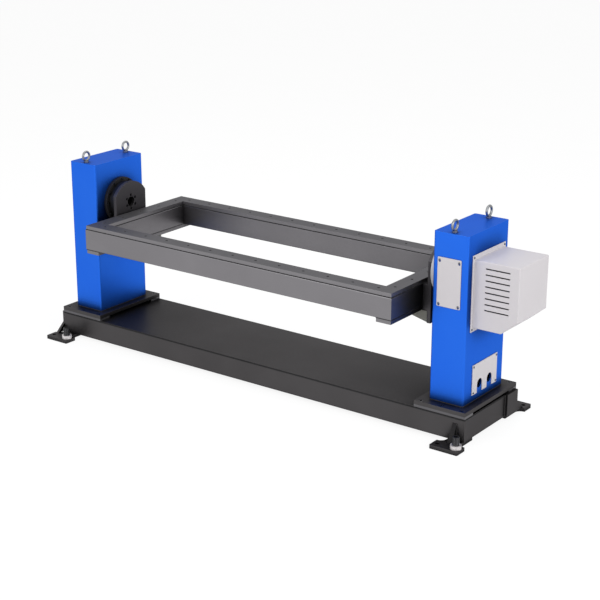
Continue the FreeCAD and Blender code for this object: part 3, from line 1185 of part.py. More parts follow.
cable = new_body("cable_plate", x=motor_x, y=cable_shift, z=cable_centre)
cable_sketch = new_sketch(cable, "outline", "YZ_Plane")
rectangle(cable_sketch, -cable_width / 2, -cable_height / 2, cable_width / 2, cable_height / 2)
cable_y = cable_width / 2 - cable_edge
cable_z = cable_height / 2 - cable_edge
for side_y in (-1, 1):
    for side_z in (-1, 1):
        circle(cable_sketch, side_y * cable_y, side_z * cable_z, cover_screw + seat_gap)
pad(cable, "sheet", cable_sketch, cover_sheet)
arches = new_sketch(cable, "arches", "YZ_Plane", cover_sheet)
legs = new_sketch(cable, "legs", "YZ_Plane", cover_sheet)
for side_y in (-1, 1):
    circle(arches, side_y * cable_offset, -cable_drop, cable_radius)
    rectangle(legs, side_y * cable_offset - cable_radius, -cable_height / 2,
              side_y * cable_offset + cable_radius, -cable_drop)
pocket(cable, "arches_cut", arches)
pocket(cable, "legs_cut", legs)

# Screws of the hood and of the cable plate, alike but for the sheet they clamp
outer_screws = new_body("hood_and_cable_screws", x=motor_x, axis=V(0, 1, 0), angle=90)
lip_span_z = hood_lip_height - 2 * hood_lip_edge
lip_span_y = hood_lip_width - 2 * hood_lip_edge
for name, level, shift, sheet_thick, span_z, span_y in (
        ("hood", hood_level, hood_shift, hood_sheet, lip_span_z, lip_span_y),
        ("cable", cable_centre, cable_shift, cover_sheet, 2 * cable_z, 2 * cable_y)):
    parts, screw_sketch = one_screw(outer_screws, name, -level - span_z / 2, shift - span_y / 2, sheet_thick,
                                    cover_screw, sheet_thick + post_wall, cover_head, cover_screw)
    grid(outer_screws, name + "_places", parts, screw_sketch, span_z, 2, span_y, 2)

doc.recompute()


def check(item):
    if "Invalid" in item.State or "Error" in item.State:
        raise RuntimeError("%s did not build: %s" % (item.Label, item.State))
    if item.TypeId == "PartDesign::Pocket" and item.Shape.Volume >= item.BaseFeature.Shape.Volume:
        raise RuntimeError("%s cuts nothing" % item.Label)


for item in doc.Objects:
    check(item)
for piece in pieces:
    if piece.Shape.isNull() or not piece.Shape.isValid():
        raise RuntimeError("%s has no valid shape" % piece.Label)
os.makedirs("parts", exist_ok=True)
for piece in pieces:
    piece.Shape.exportStep(os.path.join("parts", piece.Label + ".step"))
print("%d pieces written" % len(pieces))
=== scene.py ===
import math

import bmesh
import bpy
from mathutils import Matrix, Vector


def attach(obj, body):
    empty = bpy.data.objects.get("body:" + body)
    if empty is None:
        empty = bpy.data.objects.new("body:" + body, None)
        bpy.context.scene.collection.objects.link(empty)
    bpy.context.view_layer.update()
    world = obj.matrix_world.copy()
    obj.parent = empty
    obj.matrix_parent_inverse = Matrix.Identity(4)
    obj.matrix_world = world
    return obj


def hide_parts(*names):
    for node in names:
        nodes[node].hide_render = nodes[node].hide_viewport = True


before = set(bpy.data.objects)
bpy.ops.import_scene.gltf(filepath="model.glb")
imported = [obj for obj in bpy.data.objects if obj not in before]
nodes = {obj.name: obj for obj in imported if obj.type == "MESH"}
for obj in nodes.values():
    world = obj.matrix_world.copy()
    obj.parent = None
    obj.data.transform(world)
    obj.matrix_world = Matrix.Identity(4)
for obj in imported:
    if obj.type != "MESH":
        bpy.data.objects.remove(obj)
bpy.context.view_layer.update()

MM = 0.001


# The base is welded from hot-rolled channels, plates and ribs, with foot plates and gussets.
# After welding it is all sprayed with one coat of black-grey metallic enamel: fine metal flakes
# give broad soft highlights, the film thins along the edges, and it has a faint orange peel.
def linear(code):
    """The linear colour of an sRGB hex code."""
    parts = [int(code[k:k + 2], 16) / 255 for k in (1, 3, 5)]
    return [p / 12.92 if p <= 0.04045 else ((p + 0.055) / 1.055) ** 2.4 for p in parts] + [1.0]


def put(tree, kind, inputs=None, **settings):
    """Adds a node with its settings. An input given as a socket is linked, any other is set."""
    node = tree.nodes.new(kind)
    for name, value in settings.items():
        setattr(node, name, value)
    for key, value in (inputs or {}).items():
        if isinstance(value, bpy.types.NodeSocket):
            tree.links.new(value, node.inputs[key])
        else:
            node.inputs[key].default_value = value
    return node


def maths(tree, operation, *terms):
    """The result of a sum on sockets or numbers."""
    return put(tree, "ShaderNodeMath", dict(enumerate(terms)), operation=operation).outputs[0]


def blend(tree, factor, first, second):
    """The colour between two others, each given as a socket or as an sRGB hex code."""
    first, second = [linear(c) if isinstance(c, str) else c for c in (first, second)]
    return put(tree, "ShaderNodeMix", {0: factor, 6: first, 7: second}, data_type="RGBA").outputs[2]


def ranged(tree, value, given, wanted):
    """A value moved from one range to another and held at its ends."""
    return put(tree, "ShaderNodeMapRange", {"Value": value, "From Min": given[0], "From Max": given[1],
                                            "To Min": wanted[0], "To Max": wanted[1]}).outputs[0]


def new_material(name):
    """A material, its tree, the inputs of its shader and the place of a point on the object."""
    material = bpy.data.materials.new(name)
    material.use_nodes = True
    tree = material.node_tree
    shader = tree.nodes["Principled BSDF"].inputs
    return material, tree, shader, put(tree, "ShaderNodeTexCoord").outputs["Object"]


def sprayed_enamel(name, colours, roughness, metallic=0.0, specular=0.5, sheen="#FFFFFF",
                   painted_shade=0.0, shade_reach=60 * MM):
    """Enamel on plate: colours of coat, clouds and thin edges, and painted shade near other faces."""
    colour, cloud, thin = colours
    paint, tree, shader, place = new_material(name)
    cloud_size, edge_radius, peel_depth, gloss_spread = 260 * MM, 1.6 * MM, 0.08 * MM, 0.04
    # real orange peel is 1 to 2 mm across, drawn at 3 mm so that it shows
    peel_size = 3 * MM
    passes = put(tree, "ShaderNodeTexNoise", {"Vector": place, "Scale": 1 / cloud_size, "Detail": 2.0})
    peel = put(tree, "ShaderNodeTexNoise", {"Vector": place, "Scale": 1 / peel_size, "Detail": 1.5})
    rounded = put(tree, "ShaderNodeBevel", {"Radius": edge_radius}, samples=4)
    surface = put(tree, "ShaderNodeNewGeometry")
    turn = put(tree, "ShaderNodeVectorMath", {0: rounded.outputs["Normal"], 1: surface.outputs["Normal"]},
               operation="DOT_PRODUCT")
    edge = ranged(tree, turn.outputs["Value"], (0.8, 0.99), (0.6, 0.0))
    clouds = ranged(tree, passes.outputs["Fac"], (0.35, 0.65), (0.0, 1.0))
    coat = blend(tree, edge, blend(tree, clouds, colour, cloud), thin)
    # painted shade: the coat darkens to near black where other faces are near, as ambient occlusion
    occlusion = put(tree, "ShaderNodeAmbientOcclusion", {"Distance": shade_reach}, samples=8)
    shade_amount = ranged(tree, occlusion.outputs["AO"], (0.4, 0.9), (painted_shade, 0.0))
    gloss = ranged(tree, peel.outputs["Fac"], (0.3, 0.7), (roughness - gloss_spread, roughness + gloss_spread))
    relief = put(tree, "ShaderNodeBump", {"Height": peel.outputs["Fac"], "Strength": 0.25,
                                          "Distance": peel_depth, "Normal": rounded.outputs["Normal"]})
    tree.links.new(blend(tree, shade_amount, coat, "#08080A"), shader["Base Color"])
    tree.links.new(gloss, shader["Roughness"])
    tree.links.new(relief.outputs["Normal"], shader["Normal"])
    shader["Metallic"].default_value = metallic
    shader["Specular IOR Level"].default_value = specular
    shader["Specular Tint"].default_value = linear(sheen)
    return paint


def finish(material, *names):
    """Gives CAD nodes their material."""
    for name in names:
        nodes[name].data.materials.clear()
        nodes[name].data.materials.append(material)


black_coat = ("#494748", "#4D4B4C", "#646263")
base_enamel = sprayed_enamel("black_metallic_enamel", black_coat, 0.4, metallic=0.9, sheen="#BABABA",
                             painted_shade=0.9, shade_reach=45 * MM)
finish(base_enamel, "base_front_channel", "base_rear_channel", "base_left_end_plate",
       "base_right_end_plate", "base_cross_ribs", "foot_plate_front_left", "foot_plate_front_right",
       "foot_plate_rear_left", "foot_plate_rear_right", "end_gusset_front_left",
       "end_gusset_rear_right")
# painted shade: the wide top darkens near the posts and under the frame, by occlusion reaching 700 mm
top_enamel = sprayed_enamel("black_metallic_top_enamel", ("#4C4A4B", "#504E4F", "#676566"), 0.4,
                            metallic=0.9, sheen="#BABABA", painted_shade=0.9, shade_reach=700 * MM)
finish(top_enamel, "base_top_plate")
# painted shade: the side gussets take a darker, duller copy of the base enamel, for the shade on them
shaded_gusset_enamel = sprayed_enamel("black_gusset_enamel_painted_shade", ("#2B2A2B", "#262526", "#3A393A"), 0.6,
                                metallic=0.6, specular=0.3, sheen="#808080", painted_shade=0.9, shade_reach=45 * MM)
finish(shaded_gusset_enamel, "side_gusset_front_right", "side_gusset_rear_left")


# Fillet welds join the gussets to the base and the foot plates, painted over with the base.
# Each bead is laid along a line of corners, and its ripples are where the welder's pool froze.
# Black beads of painted shade in the joints are laid by the same tree, longer in their waves and nearly smooth.
def new_tree(name, *sockets):
    """A Geometry Nodes tree with named inputs, its input node and its output node."""
    tree = bpy.data.node_groups.new(name, "GeometryNodeTree")
    tree.interface.new_socket("Geometry", in_out="INPUT", socket_type="NodeSocketGeometry")
    tree.interface.new_socket("Geometry", in_out="OUTPUT", socket_type="NodeSocketGeometry")
    for label, kind in sockets:
        tree.interface.new_socket(label, in_out="INPUT", socket_type="NodeSocket" + kind)
    return tree, tree.nodes.new("NodeGroupInput").outputs, tree.nodes.new("NodeGroupOutput").inputs


def end_tree(tree, geometry, material, result):
    """Ends a tree: instances become real, and the mesh takes its material."""
    real = put(tree, "GeometryNodeRealizeInstances", {"Geometry": geometry})
    covered = put(tree, "GeometryNodeSetMaterial", {"Geometry": real.outputs[0], "Material": material})
    tree.links.new(covered.outputs[0], result[0])


def grown(name, mesh, tree, values):
    """A plain piece from a mesh and a tree: its inputs go in by identifier, then it is baked."""
    piece = bpy.data.objects.new(name, mesh)
    bpy.context.scene.collection.objects.link(piece)
    modifier = piece.modifiers.new("tree", "NODES")
    modifier.node_group = tree
    for item in tree.interface.items_tree:
        if item.in_out == "INPUT" and item.name in values:
            modifier[item.identifier] = values[item.name]
    graph = bpy.context.evaluated_depsgraph_get()
    plain = bpy.data.meshes.new_from_object(piece.evaluated_get(graph), depsgraph=graph)
    piece.modifiers.clear()
    piece.data = plain
    return piece


bead_tree, given, result = new_tree("weld_bead", ("Bead Radius", "Float"), ("Step", "Float"),
                                    ("Ripple Pitch", "Float"), ("Ripple Depth", "Float"),
                                    ("Seed", "Int"), ("Paint", "Material"))
lines = put(bead_tree, "GeometryNodeMeshToCurve", {"Mesh": given["Geometry"]})
path = put(bead_tree, "GeometryNodeResampleCurve", {"Curve": lines.outputs[0], "Length": given["Step"]},
           mode="LENGTH")
along = put(bead_tree, "GeometryNodeSplineParameter")
phase = maths(bead_tree, "DIVIDE", along.outputs["Length"], given["Ripple Pitch"])
wave = maths(bead_tree, "SINE", maths(bead_tree, "MULTIPLY", phase, math.tau))
spread = put(bead_tree, "FunctionNodeRandomValue", {2: 0.9, 3: 1.1, "Seed": given["Seed"]},
             data_type="FLOAT")
ripple = maths(bead_tree, "MULTIPLY", wave, given["Ripple Depth"])
thick = maths(bead_tree, "ADD", ripple, spread.outputs[1])
section = put(bead_tree, "GeometryNodeCurvePrimitiveCircle", {"Resolution": 8,
                                                              "Radius": given["Bead Radius"]})
bead = put(bead_tree, "GeometryNodeCurveToMesh", {"Curve": path.outputs[0],
                                                  "Profile Curve": section.outputs[0],
                                                  "Scale": thick, "Fill Caps": True})
soft = put(bead_tree, "GeometryNodeSetShadeSmooth", {"Geometry": bead.outputs[0]})
end_tree(bead_tree, soft.outputs[0], given["Paint"], result)


def weld(name, body, paint, runs, radius=3.5 * MM, step=1.6 * MM):
    """Beads along open or closed runs of points given in millimetres."""
    spots = []
    edges = []
    for run, closed in runs:
        first = len(spots)
        spots += [[c * MM for c in point] for point in run]
        edges += [(first + k, first + k + 1) for k in range(len(run) - 1)]
        if closed:
            edges.append((len(spots) - 1, first))
    mesh = bpy.data.meshes.new(name)
    mesh.from_pydata(spots, edges, [])
    bead = grown(name, mesh, bead_tree, {"Bead Radius": radius, "Step": step, "Ripple Pitch": 4 * step,
                                         "Ripple Depth": 0.08, "Seed": 7, "Paint": paint})
    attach(bead, body)


base_left, base_right, base_side = -1433.25, 1266.75, 256
foot_top, side_gusset_top, side_gusset_reach = 20, 108, 304
end_gusset_top, end_gusset_lines = 138, ((145, 22), (251, 24))
foot_runs = []
for x, side in ((1200.75, -1), (1224.75, -1), (-1391.25, 1), (-1367.25, 1)):
    foot_runs.append(([(x, side * base_side, side_gusset_top), (x, side * base_side, foot_top),
                       (x, side * side_gusset_reach, foot_top)], False))
for x, side in ((base_left, -1), (base_right, 1)):
    for y, low in end_gusset_lines:
        foot_runs.append(([(x, side * y, end_gusset_top), (x, side * y, low)], False))
weld("gusset_welds", "stand", base_enamel, foot_runs)


def ring(left, right, side, level):
    """A closed run round a rectangle at one level."""
    return [(left, -side, level), (right, -side, level), (right, side, level), (left, side, level)], True


# painted shade: a black bead lies in the groove under the top plate, for the shade in the seam
joint_shade_black = sprayed_enamel("black_joint_shade", ("#101012", "#161618", "#1C1C1E"), 0.5, specular=0.3)
joint_shade_bead = {"radius": 2.6 * MM, "step": 5 * MM}
groove_level, sunk = 133, 0.5
weld("base_joint_shade_bead", "stand", joint_shade_black,
     [ring(base_left + sunk, base_right - sunk, base_side - sunk, groove_level)], **joint_shade_bead)


# Each foot has a levelling screw with a metric thread and a hexagon socket, and a round lock nut.
# The screw is blackened steel, and the nut is zinc plated and still bright.
def plated_steel(name, colour, dull, roughness, spread, blotch=6 * MM, metallic=1.0):
    """Zinc or oxide film on steel: blotches of colour and gloss over softened edges."""
    metal, tree, shader, place = new_material(name)
    edge_radius = 0.6 * MM
    film = put(tree, "ShaderNodeTexNoise", {"Vector": place, "Scale": 1 / blotch, "Detail": 3.0})
    rounded = put(tree, "ShaderNodeBevel", {"Radius": edge_radius}, samples=4)
    gloss = ranged(tree, film.outputs["Fac"], (0.3, 0.7), (roughness - spread, roughness + spread))
    tree.links.new(blend(tree, film.outputs["Fac"], colour, dull), shader["Base Color"])
    tree.links.new(gloss, shader["Roughness"])
    tree.links.new(rounded.outputs["Normal"], shader["Normal"])
    shader["Metallic"].default_value = metallic
    return metal


def cylinder(tree, sides, radius, depth, **segments):
    """An upright cylinder about the origin."""
    inputs = {"Vertices": sides, "Radius": radius, "Depth": depth}
    inputs.update({key.replace("_", " "): value for key, value in segments.items()})
    return put(tree, "GeometryNodeMeshCylinder", inputs).outputs["Mesh"]


def lifted(tree, geometry, height):
    """A mesh moved along Z."""
    lift = put(tree, "ShaderNodeCombineXYZ", {"Z": height})
    return put(tree, "GeometryNodeTransform", {"Geometry": geometry, "Translation": lift.outputs[0]}).outputs[0]


def any_angle(tree, seed):
    """A turn about Z by a random angle."""
    angle = put(tree, "FunctionNodeRandomValue", {2: 0.0, 3: math.tau, "Seed": seed}, data_type="FLOAT")
    about = put(tree, "ShaderNodeCombineXYZ", {"Z": angle.outputs[1]})
    return put(tree, "FunctionNodeEulerToRotation", {0: about.outputs[0]}).outputs[0]


def scattered(tree, points, piece, rotation):
    """The piece at each of the points."""
    return put(tree, "GeometryNodeInstanceOnPoints", {"Points": points, "Instance": piece,
                                                      "Rotation": rotation}).outputs[0]


blackened = plated_steel("blackened_screw_steel", "#4A4A4C", "#323234", 0.4, 0.06)
bright_zinc = plated_steel("bright_zinc_plated_steel", "#DAD6D6", "#CECACA", 0.5, 0.06, metallic=0.6)
finish(bright_zinc, "levelling_lock_nuts")

jack_length, jack_pitch, rows_a_turn = 82, 4, 6
jack_tree, given, result = new_tree("levelling_screw", ("Radius", "Float"), ("Length", "Float"),
                                    ("Pitch", "Float"), ("Thread Depth", "Float"),
                                    ("Socket Radius", "Float"), ("Socket Depth", "Float"),
                                    ("Seed", "Int"), ("Finish", "Material"))
rod = cylinder(jack_tree, 32, given["Radius"], given["Length"], Fill_Segments=1,
               Side_Segments=rows_a_turn * jack_length // jack_pitch)
spot = put(jack_tree, "GeometryNodeInputPosition")
parts = put(jack_tree, "ShaderNodeSeparateXYZ", {0: spot.outputs[0]}).outputs
turn = maths(jack_tree, "DIVIDE", maths(jack_tree, "ARCTAN2", parts["Y"], parts["X"]), math.tau)
rise = maths(jack_tree, "DIVIDE", parts["Z"], given["Pitch"])
tooth = maths(jack_tree, "PINGPONG", maths(jack_tree, "SUBTRACT", rise, turn), 0.5)
depth = maths(jack_tree, "MULTIPLY", maths(jack_tree, "MULTIPLY", tooth, given["Thread Depth"]), -2.0)
flat = put(jack_tree, "ShaderNodeCombineXYZ", {"X": parts["X"], "Y": parts["Y"]})
outward = put(jack_tree, "ShaderNodeVectorMath", {0: flat.outputs[0]}, operation="NORMALIZE")
move = put(jack_tree, "ShaderNodeVectorMath", {0: outward.outputs[0], "Scale": depth}, operation="SCALE")
thread = put(jack_tree, "GeometryNodeSetPosition", {"Geometry": rod, "Offset": move.outputs[0]})
key = lifted(jack_tree, cylinder(jack_tree, 6, given["Socket Radius"], given["Socket Depth"]),
             maths(jack_tree, "MULTIPLY", given["Length"], 0.5))
cut = put(jack_tree, "GeometryNodeMeshBoolean", {0: thread.outputs[0], 1: key}, operation="DIFFERENCE")
placed = scattered(jack_tree, given["Geometry"], cut.outputs[0], any_angle(jack_tree, given["Seed"]))
end_tree(jack_tree, placed, given["Finish"], result)

jack_spots = bpy.data.meshes.new("levelling_spots")
jack_spots.from_pydata([(x * MM, y * MM, jack_length / 2 * MM) for x, y in
                        ((-1335.25, -338), (1268.75, -338), (-1435.25, 338), (1168.75, 338))], [], [])
jacks = grown("threaded_levelling_screws", jack_spots, jack_tree,
              {"Radius": 18 * MM, "Length": jack_length * MM, "Pitch": jack_pitch * MM,
               "Thread Depth": 1.6 * MM, "Socket Radius": 11 * MM, "Socket Depth": 30 * MM, "Seed": 3,
               "Finish": blackened})
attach(jacks, "stand")
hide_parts("levelling_screws")


# The two posts are boxes of folded and welded plate, sprayed with blue metallic enamel outside.
# Inside they are near black, painted shade for the hollow. Each is welded to a flange screwed to the base.
middle, post_centre, post_foot = -83.25, 1204, 172
post_half_x, post_half_y, post_corner = 96, 194, 10
hollow_half_x, hollow_half_y, hollow_top = 86.5, 184.5, 1014.5
# painted shade darkens the blue within 170 mm of other faces, such as the flange
blue_enamel = sprayed_enamel("blue_metallic_enamel", ("#2467DE", "#276ADF", "#4F86E4"), 0.42,
                             metallic=0.9, sheen="#B0B0B0", painted_shade=0.95, shade_reach=170 * MM)
tree = blue_enamel.node_tree
shader = tree.nodes["Principled BSDF"].inputs
coat = shader["Base Color"].links[0].from_socket
place = put(tree, "ShaderNodeTexCoord").outputs["Object"]
parts = put(tree, "ShaderNodeSeparateXYZ", {0: place}).outputs
# painted shade: points within the hollow of a post take near black
from_middle = maths(tree, "ABSOLUTE", maths(tree, "ADD", parts["X"], -middle * MM))
from_post = maths(tree, "ABSOLUTE", maths(tree, "SUBTRACT", from_middle, post_centre * MM))
within_x = maths(tree, "LESS_THAN", from_post, hollow_half_x * MM)
within_y = maths(tree, "LESS_THAN", maths(tree, "ABSOLUTE", parts["Y"]), hollow_half_y * MM)
within_z = maths(tree, "LESS_THAN", parts["Z"], hollow_top * MM)
inside = maths(tree, "MULTIPLY", maths(tree, "MULTIPLY", within_x, within_y), within_z)
tree.links.new(blend(tree, inside, coat, "#17171A"), shader["Base Color"])
finish(blue_enamel, "left_post", "right_post")
flange_enamel = sprayed_enamel("black_metallic_flange_enamel", black_coat, 0.42, metallic=0.9,
                               sheen="#BABABA", painted_shade=0.95, shade_reach=95 * MM)
finish(flange_enamel, "left_post_flange", "right_post_flange")

# the weld goes round the foot of each post, with four straight steps in each rounded corner
corner_x, corner_y = post_half_x - post_corner, post_half_y - post_corner
post_runs = []
for x in (middle - post_centre, middle + post_centre):
    run = []
    for side_x, side_y, start in ((1, 1, 0), (-1, 1, 90), (-1, -1, 180), (1, -1, 270)):
        for step in range(5):
            turn = math.radians(start + 22.5 * step)
            run.append((x + side_x * corner_x + post_corner * math.cos(turn),
                        side_y * corner_y + post_corner * math.sin(turn), post_foot))
    post_runs.append((run, True))
weld("post_welds", "stand", flange_enamel, post_runs, 2.5 * MM)


# All cap screws are alike but for their size: a knurled head with a hexagon socket and a shank.
# They are forged and black oxidised, or zinc plated on the covers, and stop at any angle.
screw_tree, given, result = new_tree("cap_screw", ("Head Radius", "Float"), ("Head Height", "Float"),
                                     ("Shank Radius", "Float"), ("Shank Length", "Float"),
                                     ("Knurl Depth", "Float"), ("Axis", "Vector"), ("Seed", "Int"),
                                     ("Finish", "Material"))
body_height = maths(screw_tree, "MULTIPLY", given["Head Height"], 0.88)
crown_height = maths(screw_tree, "MULTIPLY", given["Head Height"], 0.12)
crown_radius = maths(screw_tree, "MULTIPLY", given["Head Radius"], 0.92)
drum = cylinder(screw_tree, 48, given["Head Radius"], body_height)
number = put(screw_tree, "GeometryNodeInputIndex")
odd = maths(screw_tree, "MODULO", number.outputs[0], 2.0)
groove = maths(screw_tree, "MULTIPLY", maths(screw_tree, "MULTIPLY", odd, given["Knurl Depth"]), -1.0)
spot = put(screw_tree, "GeometryNodeInputPosition")
flat = put(screw_tree, "ShaderNodeVectorMath", {0: spot.outputs[0], 1: (1.0, 1.0, 0.0)},
           operation="MULTIPLY")
inward = put(screw_tree, "ShaderNodeVectorMath", {0: flat.outputs[0], "Scale": groove}, operation="SCALE")
knurled = put(screw_tree, "GeometryNodeSetPosition", {"Geometry": drum, "Offset": inward.outputs[0]})
knurled = lifted(screw_tree, knurled.outputs[0], maths(screw_tree, "MULTIPLY", body_height, 0.5))
crown = put(screw_tree, "GeometryNodeMeshCone", {"Vertices": 48, "Radius Top": crown_radius,
                                                 "Radius Bottom": given["Head Radius"],
                                                 "Depth": crown_height})
crown = lifted(screw_tree, crown.outputs["Mesh"], body_height)
shank = lifted(screw_tree, cylinder(screw_tree, 24, given["Shank Radius"], given["Shank Length"]),
               maths(screw_tree, "MULTIPLY", given["Shank Length"], -0.5))
key = lifted(screw_tree, cylinder(screw_tree, 6, maths(screw_tree, "MULTIPLY", given["Shank Radius"], 0.95),
                                  maths(screw_tree, "MULTIPLY", given["Head Height"], 1.1)),
             given["Head Height"])
solid = put(screw_tree, "GeometryNodeMeshBoolean", {1: knurled}, operation="UNION")
screw_tree.links.new(crown, solid.inputs[1])
cut = put(screw_tree, "GeometryNodeMeshBoolean", {0: solid.outputs[0], 1: key}, operation="DIFFERENCE")
whole = put(screw_tree, "GeometryNodeJoinGeometry")
screw_tree.links.new(cut.outputs[0], whole.inputs[0])
screw_tree.links.new(shank, whole.inputs[0])
upright = put(screw_tree, "FunctionNodeAlignRotationToVector", {"Vector": given["Axis"]}, axis="Z")
turned = put(screw_tree, "FunctionNodeRotateRotation",
             {0: upright.outputs[0], 1: any_angle(screw_tree, given["Seed"])}, rotation_space="LOCAL")
placed = scattered(screw_tree, given["Geometry"], whole.outputs[0], turned.outputs[0])
end_tree(screw_tree, placed, given["Finish"], result)

# head radius, head height and shank radius of each size, in millimetres
M16, M12, M10, M8, COVER_SCREW = (12, 16, 8), (9, 12, 6), (7.5, 10, 5), (6, 8, 4), (5.2, 3, 3)


def screws(name, node, surface, *groups, body="stand"):
    """One piece of screws in place of a node: groups of spots in mm, head axis, size and length."""
    mesh = bmesh.new()
    for number, (spots, axis, (head_radius, head_height, shank_radius), length) in enumerate(groups):
        points = bpy.data.meshes.new(name)
        points.from_pydata([[c * MM for c in point] for point in spots], [], [])
        part = grown(name, points, screw_tree,
                     {"Head Radius": head_radius * MM, "Head Height": head_height * MM,
                      "Shank Radius": shank_radius * MM, "Shank Length": length * MM,
                      "Knurl Depth": 0.045, "Axis": axis, "Seed": 11 + number, "Finish": surface})
        mesh.from_mesh(part.data)
        bpy.data.objects.remove(part)
    merged = bpy.data.meshes.new(name)
    mesh.to_mesh(merged)
    mesh.free()
    merged.materials.append(surface)
    piece = bpy.data.objects.new(name, merged)
    bpy.context.scene.collection.objects.link(piece)
    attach(piece, body)
    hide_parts(node)


axis_level = 800


def spot_ring(x, radius, count):
    """Spots on a circle about the turning axis, the first at the top."""
    return [(x, radius * math.sin(math.tau * k / count), axis_level + radius * math.cos(math.tau * k / count))
            for k in range(count)]


black_oxide = plated_steel("black_oxide_steel", "#3A3A3E", "#2A2A2D", 0.36, 0.07)
flange_top, flange_centre, flange_step, flange_row = 155.5, post_centre + 0.5, 115, 237
screws("flange_cap_screws", "post_flange_screws", black_oxide,
       ([(x + step, y, flange_top) for x in (middle - flange_centre, middle + flange_centre)
         for step in (-flange_step, 0, flange_step) for y in (-flange_row, flange_row)],
        (0, 0, 1), M16, 29.5))


# Four forged lifting eyes are screwed into the tops of the posts.
# They are hot-dip galvanised, so they are grey with a slightly uneven gloss.
galvanised = plated_steel("galvanised_forging", "#9A9C9E", "#77797B", 0.4, 0.1, 9 * MM)
finish(galvanised, "lifting_eyes")


# The turning frame is welded from rectangular tube with mitred corners and sprayed metallic grey.
# The strips are milled on top after painting, and black beads under them are painted shade for the joints.
def cut_steel(name, colour, dark, roughness, feed, turned):
    """Steel cut on a mill or lathe: fine lines along the cut in gloss and relief, over patches of colour."""
    metal, tree, shader, place = new_material(name)
    patch_size, edge_radius, line_depth, gloss_spread = 90 * MM, 0.8 * MM, 0.02 * MM, 0.05
    centre = axis_level * MM if turned else 0.0
    centred = put(tree, "ShaderNodeMapping", {"Vector": place, "Location": (0, 0, -centre)})
    lines = put(tree, "ShaderNodeTexWave", {"Vector": centred.outputs["Vector"], "Scale": math.tau / 20 / feed,
                                            "Distortion": 0.6, "Detail": 1.0, "Detail Scale": 2.0},
                wave_type="RINGS" if turned else "BANDS", rings_direction="X", bands_direction="X")
    patches = put(tree, "ShaderNodeTexNoise", {"Vector": place, "Scale": 1 / patch_size, "Detail": 3.0})
    rounded = put(tree, "ShaderNodeBevel", {"Radius": edge_radius}, samples=4)
    gloss = ranged(tree, lines.outputs["Fac"], (0.0, 1.0), (roughness - gloss_spread, roughness + gloss_spread))
    relief = put(tree, "ShaderNodeBump", {"Height": lines.outputs["Fac"], "Strength": 0.2,
                                          "Distance": line_depth, "Normal": rounded.outputs["Normal"]})
    tree.links.new(blend(tree, patches.outputs["Fac"], colour, dark), shader["Base Color"])
    tree.links.new(gloss, shader["Roughness"])
    tree.links.new(relief.outputs["Normal"], shader["Normal"])
    shader["Metallic"].default_value = 1.0
    return metal


grey_coat = ("#7E7C7F", "#828083", "#929093")
# painted shade darkens the frame within 700 mm of other faces, most on the inner faces of the rails
grey_enamel = sprayed_enamel("grey_metallic_enamel", grey_coat, 0.37, metallic=0.95, sheen="#909090",
                             painted_shade=0.8, shade_reach=700 * MM)
milled_steel = cut_steel("milled_oiled_steel", "#69686B", "#5C5B5E", 0.42, 6 * MM, False)
finish(grey_enamel, "frame_front_rail", "frame_rear_rail", "frame_left_rail", "frame_right_rail",
       "lower_strip_left", "lower_strip_right")
finish(milled_steel, "post_pads")
strip_enamel = sprayed_enamel("grey_enamel_milled_on_top", grey_coat, 0.37, metallic=0.95, sheen="#BEBEBE",
                              painted_shade=0.5, shade_reach=30 * MM)
tree = strip_enamel.node_tree
shader = tree.nodes["Principled BSDF"].inputs
coat = shader["Base Color"].links[0].from_socket
gloss = shader["Roughness"].links[0].from_socket
place = put(tree, "ShaderNodeTexCoord").outputs["Object"]
# paint is left on the sides up to the milled face, which lies just above this level
painted_to = 751.6
parts = put(tree, "ShaderNodeSeparateXYZ", {0: place}).outputs
on_top = maths(tree, "GREATER_THAN", parts["Z"], painted_to * MM)
# the face mill feeds 1 mm a turn, drawn at 6 mm so that it shows
mill_feed, oil_size = 6 * MM, 90 * MM
arcs = put(tree, "ShaderNodeTexWave", {"Vector": place, "Scale": math.tau / 20 / mill_feed, "Distortion": 0.8,
                                       "Detail": 1.0, "Detail Scale": 2.0}, wave_type="RINGS",
           rings_direction="Z")
oil = put(tree, "ShaderNodeTexNoise", {"Vector": place, "Scale": 1 / oil_size, "Detail": 3.0})
bare = blend(tree, oil.outputs["Fac"], "#6E6D70", "#646366")
shine = ranged(tree, arcs.outputs["Fac"], (0.0, 1.0), (0.42, 0.54))
dullness = put(tree, "ShaderNodeMix", {0: on_top, 2: gloss, 3: shine}, data_type="FLOAT")
tree.links.new(blend(tree, on_top, coat, bare), shader["Base Color"])
tree.links.new(dullness.outputs[0], shader["Roughness"])
finish(strip_enamel, "fixture_strip_front", "fixture_strip_rear", "fixture_strip_left",
       "fixture_strip_right")

# black beads of painted shade run round the upper strips, outside and inside, and round each lower strip
outer_left, outer_right, outer_side = -1076.85, 924.35, 400.6
inner_left, inner_right, inner_side = -990.65, 838.15, 314.4
upper_joint, lower_joint = 730, 616
weld("strip_joint_shade_bead", "turning_frame", joint_shade_black,
     [ring(outer_left, outer_right, outer_side, upper_joint),
      ring(inner_left, inner_right, inner_side, upper_joint),
      ring(outer_left, inner_left, outer_side, lower_joint),
      ring(outer_right, inner_right, outer_side, lower_joint)], **joint_shade_bead)


